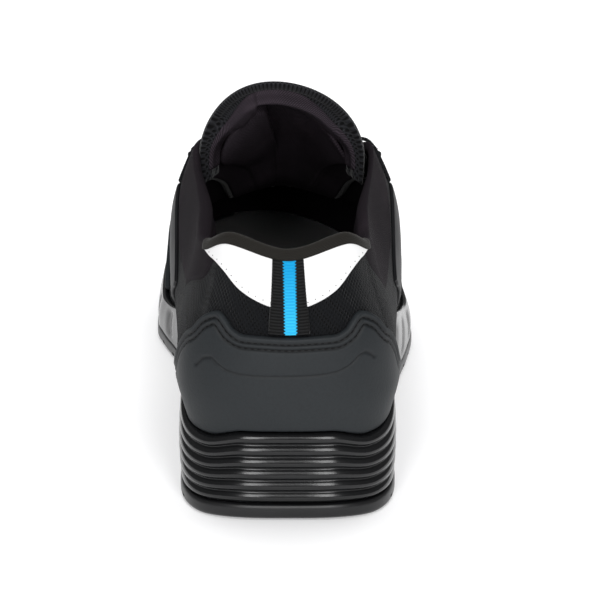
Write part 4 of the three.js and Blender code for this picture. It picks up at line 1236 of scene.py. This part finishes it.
facing, sheet = overlay("lace_facing_sheet", facingFrom, 6 - facingFrom,
                        lambda ring: shareAtDepth(ring, facingForm["width"]),
                        lambda ring: shareAtDepth(ring, facingForm["edge"]), facingForm["thickness"],
                        facingForm["round"], step=1.1, rows=34, relief=facingRelief)
eyeletRings = [ringAt(between(eyeletForm["first"], eyeletForm["last"], i / (eyeletForm["count"] - 1)))
               for i in range(eyeletForm["count"])]


def eyeletPlace(ring):
    at = np.array([float(ring)])
    share = shareAtDepth(at, eyeletForm["fromEdge"])
    return upperPoint(at, share)[0], upperNormal(at, share)[0]


def eyelets():
    rims, punches = [], []
    for around in eyeletRings:
        for ring in (around, -around):
            point, normal = eyeletPlace(ring)
            turn = Vector(normal).to_track_quat("Z", "Y").to_matrix().to_4x4()
            top = Vector((point + normal * (cup["gap"] + facingForm["thickness"]) + origin) / 1000)
            deselectAll()
            bpy.ops.mesh.primitive_cylinder_add(vertices=32, radius=eyeletForm["radius"] / 1000,
                                                depth=0.012)
            punch = bpy.context.object
            punch.data.transform(Matrix.Translation(top) @ turn)
            punches.append(punch)
            deselectAll()
            bpy.ops.mesh.primitive_torus_add(major_segments=32, minor_segments=10,
                                             minor_radius=eyeletForm["wire"] / 1000,
                                             major_radius=(eyeletForm["radius"] + 0.15) / 1000)
            rim = bpy.context.object
            rim.data.transform(Matrix.Translation(top) @ turn @ Matrix.Diagonal((1, 1, 0.75, 1)))
            rims.append(rim)
    return joined("eyelet_rims", rims), joined("punch", punches)


rims, punch = eyelets()
cutAway(facing, punch)
fit(smoothByAngle(facing, 40), "film", "facing", "lace_facing")
activate(rims)
bpy.ops.object.shade_smooth()
fit(rims, "film", "facing")
stitchRun("facing_stitches", [seamLine(sheet, facingForm["groove"])], slot="facing")

# Side bands: from the facing down to the sole's rim, with a nose that points to the heel
bandForm = {"thickness": 1.0, "rear": 73, "front": 150, "noseDepth": 33, "gap": 0.8, "round": 0.8}
bandRows = [(0, 0, 0), (0.05, 0.14, 0.12), (0.15, 0.3, 0.32), (0.35, 0.62, 0.72), (0.55, 1, 1), (1, 1, 1)]
bandLow, bandHigh = curve(bandRows, 1), curve(bandRows, 2)


def bandShare(ring, upward):
    rear, front = ringAt(bandForm["rear"]), ringAt(bandForm["front"])
    along = (np.abs(ring) - rear) / (front - rear)
    nose = shareAtDepth(ring, bandForm["noseDepth"])
    if upward:
        return between(nose + 0.004, shareAtDepth(ring, facingForm["width"] + bandForm["gap"]),
                       bandHigh(along))
    return between(nose - 0.004, aboveRim(ring), bandLow(along))


for name, side in (("outer", 1), ("inner", -1)):
    ends = sorted([side * ringAt(bandForm["rear"]), side * ringAt(bandForm["front"])])
    band, sheet = overlay("side_band_" + name + "_film", *ends, lambda ring: bandShare(ring, False),
                          lambda ring: bandShare(ring, True), bandForm["thickness"], bandForm["round"],
                          step=1.1, rows=44)
    fit(band, "film", "facing", "side_band_" + name)

# Pull tab
tabForm = {"width": 14.0, "wideBelow": 0.97, "wideAbove": 0.9, "stripeShift": 0.5, "thickness": 1.2,
           "ribDepth": 0.28, "rib": 1.08, "round": 0.5, "gap": 0.5, "below": 0.8}
tabRadius = (shaft["heelBack"] + opening["back"]) / 2


def tabRing(clearance):
    return math.asin((tabForm["width"] / 2 + clearance) / tabRadius) / quarter


def pullTab():
    form = tabForm
    rings = np.linspace(-tabRing(0), tabRing(0), 29)
    low = shareAtHeight(np.zeros(1), counterForm["middle"] + form["below"])[0]
    high = shareAtDepth(np.zeros(1), 2.2)[0]
    shares = np.linspace(low, high, 196)[:, None]
    taper = between(form["wideBelow"], form["wideAbove"], np.linspace(0, 1, len(shares)))[:, None]
    ringGrid, share = np.broadcast_arrays(rings[None, :] * taper, shares)
    base, normals = upperPoint(ringGrid, share), upperNormal(ringGrid, share)
    v = runLength(base, 0)[:, 14][:, None]
    u = runLength(base, 1)
    u = u - u[:, 14:15]
    width = np.abs(u).max(1, keepdims=True)
    rounded = rolled((width - np.abs(u)) / form["round"])
    rib = form["ribDepth"] * (0.5 + 0.5 * np.sin(2 * math.pi * v / form["rib"]))
    height = 0.1 + (form["thickness"] + cup["gap"] - 0.1 - form["ribDepth"] + rib) * rounded
    top = base + normals * height[..., None]
    bottom = base + normals * 0.1
    pattern = np.stack(np.broadcast_arrays(u - form["stripeShift"], v), -1)
    return gridPiece("pull_tab_tape", bothFaces(top, bottom, True), bothFaces(pattern, pattern, True))


fit(pullTab(), "tape", "webbing", "pull_tab")

# Reflective panels
panelForm = {"thickness": 0.6, "depth": 19.2, "top": 1.9, "endOuter": 22.5, "endInner": 23.5,
             "round": 0.6,
             "holes": 1.7}
panelShape = curve([(0, 1), (0.17, 0.96), (0.33, 0.87), (0.55, 0.57), (0.78, 0.22), (1, 0)])
holeForm = {"length": 0.5, "width": 0.42, "height": 0.3, "pitch": 2.9}


def panelSheet(name, side):
    inside = tabRing(-1.2)
    outside = sideRing(panelForm["endOuter" if side > 0 else "endInner"])
    ends = sorted([side * inside, side * outside])

    def lower(ring):
        along = np.clip((np.abs(ring) - inside) / (outside - inside), 0, 1)
        return shareAtDepth(ring, between(panelForm["top"] + 0.3, panelForm["depth"], panelShape(along)))

    panel, sheet = overlay("reflective_" + name + "_cloth", *ends, lower,
                           lambda ring: shareAtDepth(ring, panelForm["top"]), panelForm["thickness"],
                           panelForm["round"], step=0.7, rows=40)
    flipped = dict(sheet, fromTop=nearest(sheet["top"], sheet["top"][0])[::-1], top=sheet["top"][::-1],
                   normals=sheet["normals"][::-1])
    return fit(panel, "panel", "reflective", "reflective_" + name), seamLine(flipped, panelForm["holes"])


runs = [panelSheet("outer", 1)[1], panelSheet("inner", -1)[1]]
stitchRun("panel_holes", runs, holeForm, 0.05, "binding", "reflective")

# Binding over the collar's edge round the heel
bindingForm = {"depth": 2.4, "thickness": 0.8, "endOuter": 25, "endInner": 24, "round": 0.6}


def binding():
    form = bindingForm
    ring = np.linspace(-sideRing(form["endInner"]), sideRing(form["endOuter"]), 150)
    low = shareAtDepth(ring, form["depth"])
    outer, arc, inner = collarSection(ring, low, low, 9, 9, 8)
    points = np.concatenate([outer, arc, inner])
    normals = gridNormals(points)
    v = runLength(points, 0)
    total = v[-1][None, :]
    u = runLength(points[13], 0)[None, :]
    fromEnd = np.minimum(np.minimum(v, total - v), np.minimum(u, u.max() - u))
    rounded = rolled(fromEnd / form["round"])
    top = points + normals * (0.2 + (form["thickness"] + 0.1) * rounded)[..., None]
    bottom = points + normals * 0.2
    pattern = layOut(top)
    return gridPiece("heel_binding", bothFaces(top, bottom), bothFaces(pattern, pattern))


fit(binding(), "binding", "binding", "collar_binding")
print("heel trim made")

# Tongue: arches from the top edge down under the facings, padded inwards
tongueForm = {"top": 135, "at": 101, "width": 64.5, "legHeight": 95, "legTuck": 1.8, "legRise": 17,
              "peakShift": 2.4,
              "sideShift": 0.8, "thin": 4, "padding": 8.5, "tuck": 0.15, "clearance": 0.6, "steps": 8,
              "rimRound": 4.0, "band": 0.5, "bandShoulder": 1.6, "crease": 6.0, "leftLobe": 2.6,
              "rightLobe": 1.4,
              "creaseAt": 0.4, "creaseDrift": 0.0003, "creaseRun": 0.17,
              "leftAt": 0.28, "leftSpread": 0.09, "rightAt": 0.78, "rightSpread": 0.1, "foldFade": 45,
              "foldEnd": 75, "thinnest": 1.4, "sideRound": 2.0}
# Columns: ring position, rise of the arch, padding
archRows = [(1.5, 0.74, 0.75), (1.5833, 0.65, 0.55), (1.6667, 0.57, 0.38), (1.75, 0.5, 0.25),
            (1.8333, 0.43, 0.15),
            (1.9167, 0.36, 0.05), (2, 0.3, 0), (2.25, 0.22, 0), (2.5, 0.16, 0), (2.75, 0.12, 0)]
# Columns: distance behind the top edge, drop, padding, width
topRows = [(0, 0.6, 0.6, 0.985), (1.5, 0, 0.85, 1), (4, 1, 1, 1), (8, 3.4, 0.95, 0.97),
           (12, 6, 0.85, 0.93)]


def tuckedArch(around, rise):
    form = tongueForm

    def below(ring, share):
        at, share = np.array([float(ring)]), np.array([float(share)])
        return upperOffset(at, share, -wallThickness(at, share) - form["clearance"])[0]

    under = [1 - form["tuck"], 1 - form["tuck"] * 0.55, 1 - form["tuck"] * 0.2]
    inner = [below(-around, share) for share in under]
    outer = [below(around, share) for share in under][::-1]
    start, stop = below(-around, 1), below(around, 1)
    across = []
    for i in range(form["steps"] + 1):
        t = i / form["steps"]
        lift = rise * (stop[0] - start[0]) / 2 * (1 - abs(2 * t - 1) ** 2)
        across.append(between(start, stop, t) + np.array([0, 0, lift]))
    return np.array(inner + across + outer)


def freeArch(y, crest, width):
    form = tongueForm
    angle = np.linspace(-quarter, quarter, form["steps"] + 7)
    height = form["legHeight"] + (crest - form["legHeight"]) * np.maximum(0, np.cos(angle)) ** 0.78
    tuck = form["legTuck"] * (1 - smooth(0, form["legRise"], height - form["legHeight"]))
    x = (width / 2 - tuck) * np.sin(angle) - form["sideShift"] - form["peakShift"] * np.cos(angle) ** 4
    lean = shaft["lean"] * np.maximum(0, height - cup["back"])
    x = x - sole["inflare"] * spine(y / sole["length"]) - lean
    return np.stack([x, np.full(x.shape, float(y)), height], -1)


# Catmull-Rom through the rows of an array
def refine(values, count):
    values = np.asarray(values, float)
    last = len(values) - 1
    padded = np.concatenate([[2 * values[0] - values[1]], values, [2 * values[-1] - values[-2]]])
    at = np.linspace(0, last, count)
    i = np.minimum(at.astype(int), last - 1)
    t = (at - i).reshape((-1,) + (1,) * (values.ndim - 1))
    a, b, c, d = padded[i], padded[i + 1], padded[i + 2], padded[i + 3]
    second, third = 2 * a - 5 * b + 4 * c - d, 3 * b - a - 3 * c + d
    return 0.5 * (2 * b + (c - a) * t + second * t ** 2 + third * t ** 3)


def tongueFaces():
    form = tongueForm
    free = [freeArch(form["at"] + back, form["top"] - drop, form["width"] * wide) for back, drop, _,
            wide in topRows]
    tucked = [tuckedArch(around, rise) for around, rise, _ in archRows]
    arches = np.array(free + tucked)
    thick = np.array([between(form["thin"], form["padding"], row[2]) for row in topRows + archRows])
    rows, columns = tongueRows, tongueColumns
    fineRows = refine(arches, rows)
    thickRows = refine(thick, rows)
    outer = np.swapaxes(refine(np.swapaxes(fineRows, 0, 1), columns), 0, 1)
    normals = -gridNormals(outer)
    if normals[rows // 3, columns // 2, 2] > 0:
        normals = -normals
    t = np.linspace(0, 1, columns)[None, :]
    edge = 0.5 + 0.5 * smooth(0, 0.25, 0.5 - np.abs(t - 0.5))
    down = runLength(outer, 0)
    rim = rolled((down + 0.05) / form["rimRound"])
    side = runLength(outer, 1)
    side = np.minimum(side, side[:, -1:] - side)
    rimSide = rolled((side + 0.05) / form["sideRound"])
    # The inner face: a lobe on each side of a crease that is steep on its left and runs out to the right
    at = form["creaseAt"] + down * form["creaseDrift"]
    lobes = form["leftLobe"] * hump(t, form["leftAt"], form["leftSpread"])
    lobes = lobes + form["rightLobe"] * hump(t, form["rightAt"], form["rightSpread"])
    trough = smooth(at - 0.008, at + 0.012, t) * np.exp(-np.clip(t - at, 0, 1) / form["creaseRun"])
    fold = (lobes - form["crease"] * trough) * smooth(1.5, 12, down)
    fold = fold * (1 - smooth(form["foldFade"], form["foldEnd"], down))
    inward = np.maximum(thickRows[:, None] * edge + fold, form["thinnest"]) * rim * rimSide
    return outer, normals, inward, down, t


tongueRows, tongueColumns = 131, 161
outerFace, inwards, depthIn, fromRim, acrossShare = tongueFaces()
innerFace = outerFace + inwards * depthIn[..., None]
outPattern = layOut(outerFace, 0)
tongueBody = gridPiece("tongue_mesh", bothFaces(outerFace, innerFace, True),
                       bothFaces(outPattern, outPattern * [1, -1], True))
fit(tongueBody, "spacer", "mesh", "tongue")


def tongueLining():
    form = tongueForm
    shoulder = np.abs(acrossShare - 0.5) * 2
    band = between(form["band"], form["bandShoulder"], smooth(0.1, 0.6, shoulder))
    start = [np.interp(band[0, j], fromRim[:, j], np.arange(tongueRows)) for j in range(tongueColumns)]
    columns = range(4, tongueColumns - 4)
    base = []
    for column in columns:
        at = between(start[column], tongueRows - 8, np.linspace(0, 1, 96) ** 1.15)
        base.append(np.stack([np.interp(at, np.arange(tongueRows),
                                        innerFace[:, column, k]) for k in range(3)],
                             -1))
    base = np.swapaxes(np.array(base), 0, 1)
    normals = gridNormals(base)
    if (normals[30, 70] * inwards[60, 80]).sum() < 0:
        normals = -normals
    down, over = runLength(base, 0), runLength(base, 1)
    border = np.minimum(np.minimum(down, down[-1:] - down), np.minimum(over, over[:, -1:] - over))
    rounded = rolled(border / 1.4)
    top = base + normals * (-0.15 + 0.75 * rounded)[..., None]
    pattern = layOut(top, 0)
    return gridPiece("tongue_lining", bothFaces(top, base - normals * 0.15), bothFaces(pattern, pattern))


# The tongue's lining wears the lighter knit, as painted light
tongueInside = fit(tongueLining(), "tongueKnitPaintedLight", "lining", "tongue")
print("tongue made")

# Lace: flat bands that cross the throat from eyelet to eyelet, down through the holes at both ends
laceForm = {"width": 5.6, "thickness": 1.3, "clearance": 0.5, "overEdge": 0.3, "over": 1.6, "sink": 3.2}


def tongueHeight(x, y):
    away = (outerFace[..., 0] - x) ** 2 + (outerFace[..., 1] - y) ** 2
    return outerFace.reshape(-1, 3)[np.argmin(away), 2]


def laceBand(name, start, stop, raised):
    form = laceForm
    top = cup["gap"] + facingForm["thickness"] + form["thickness"] / 2

    def around(t):
        return between(abs(start), abs(stop), t)

    def atEdge(ring, share):
        at = np.array([np.sign(ring) * around(share)])
        return upperOffset(at, np.ones(1), np.array([top + form["overEdge"]]))[0]

    def atEyelet(ring):
        point, normal = eyeletPlace(ring)
        inward = unit(atEdge(ring, 0.5) - point)
        return [point - normal * form["sink"], point + normal * (top - 0.4) + inward * 0.2,
                point + normal * (top + form["clearance"] + 0.5) + inward * 2.4]

    left, right = atEdge(start, 0.12), atEdge(stop, 0.88)
    path = atEyelet(start) + [left]
    for t in (0.15, 0.3, 0.42, 0.5, 0.58, 0.7, 0.85):
        point = between(left, right, t)
        hump = raised * form["over"] * math.exp(-((t - 0.5) / 0.13) ** 2)
        surface = tongueHeight(point[0], point[1]) + form["thickness"] / 2 + 0.4 + hump
        chord = between(left[2], right[2], t)
        point[2] = max(surface, chord - 3.5 * (1 - (2 * t - 1) ** 2))
        path.append(point)
    path += [right] + atEyelet(stop)[::-1]
    path = refine(np.array(path), 81)
    ahead = upperPoint(np.array([around(0.5) + 0.05, -around(0.5) - 0.05]), np.ones(2))
    behind = upperPoint(np.array([around(0.5) - 0.05, -around(0.5) + 0.05]), np.ones(2))
    down = unit((ahead - behind).sum(0))
    along = unit(np.gradient(path, axis=0))
    across = unit(down[None, :] - along * (along @ down)[:, None])
    out = np.cross(along, across)
    out = np.where((out[40] @ np.array([0, 0, 1])) < 0, -out, out)
    s = np.linspace(0, 1, 81)
    squeeze = smooth(0.0, 0.17, s) * (1 - smooth(0.83, 1, s))
    width = between(3.3, form["width"], squeeze)[None, :, None]
    thick = between(2.0, form["thickness"], squeeze)[None, :, None]
    angle = np.linspace(0, 2 * math.pi, 19)[:, None, None]
    flat = np.sign(np.cos(angle)) * np.abs(np.cos(angle)) ** 0.75
    points = path[None] + across[None] * flat * width / 2 + out[None] * np.sin(angle) * thick / 2
    middle = points.mean(0, keepdims=True)
    ends = points.copy()
    ends[:, 0], ends[:, -1] = middle[:, 0], middle[:, -1]
    points = np.concatenate([ends[:, :1], points, ends[:, -1:]], axis=1)
    run = np.concatenate([[0], runLength(path, 0), [0]])
    run[-1] = run[-2]
    u = (np.linspace(0, 1, 19) * 2 * form["width"])[:, None]
    pattern = np.stack(np.broadcast_arrays(u, run[None, :]), -1)
    return gridPiece(name, points, pattern)


bands = [laceBand("bar", -eyeletRings[-1], eyeletRings[-1], 0)]
for i in range(eyeletForm["count"] - 1):
    bands.append(laceBand("under", -eyeletRings[i], eyeletRings[i + 1], 0))
    bands.append(laceBand("over", -eyeletRings[i + 1], eyeletRings[i], 1))
fit(joined("lace_bands", bands), "lace", "lace", "lace")
print("lace made")

# Floor and light
floorLook = {"color": (0.76, 0.76, 0.765), "size": 9.0, "glow": 0.42}
bpy.ops.mesh.primitive_plane_add(size=floorLook["size"], location=(0, 1.5, 0))
floor = bpy.context.object
floor.name = "floor"
paper = Finish("paleFloor", floorLook["color"], 0.8)
paper.set("Roughness", 0.75 + paper.noise(3, 2) * 0.1)
paper.set("Emission Color", floorLook["color"])
paper.set("Emission Strength", floorLook["glow"])
floor.data.materials.append(paper.material)

studio = {"dim": 0.17, "seen": 0.93}
world = bpy.data.worlds.new("studio") if bpy.context.scene.world is None else bpy.context.scene.world
bpy.context.scene.world = world
world.use_nodes = True
sky = world.node_tree.nodes["Background"]
sky.inputs["Color"].default_value = (1, 1, 1, 1)
path = world.node_tree.nodes.new("ShaderNodeLightPath")
level = world.node_tree.nodes.new("ShaderNodeMapRange")
level.inputs["To Min"].default_value, level.inputs["To Max"].default_value = studio["dim"], studio["seen"]
world.node_tree.links.new(path.outputs["Is Camera Ray"], level.inputs["Value"])
world.node_tree.links.new(level.outputs["Result"], sky.inputs["Strength"])

# Softboxes: name, place in metres, width, height, power in watts
softboxes = [("leftBox", (-0.36, -1.75, 1.15), 0.36, 1.5, 16),
             ("rightBox", (0.44, -1.75, 1.15), 0.44, 1.5, 19),
             ("topBox", (0.0, 1.2, 2.6), 3.2, 2.8, 92)]
for name, at, width, height, power in softboxes:
    bpy.ops.object.light_add(type="AREA", location=at)
    light = bpy.context.object
    light.name = name
    light.data.shape = "RECTANGLE"
    light.data.size, light.data.size_y = width, height
    light.data.energy = power
    light.visible_glossy = name != "topBox"
    aim = Vector((0, 0.3 if name == "topBox" else -0.08, 0.05)) - Vector(at)
    light.rotation_euler = aim.to_track_quat("-Z", "Y").to_euler()

bpy.context.scene.view_settings.view_transform = "Standard"
bpy.context.scene.view_settings.look = "None"
print("light ready")
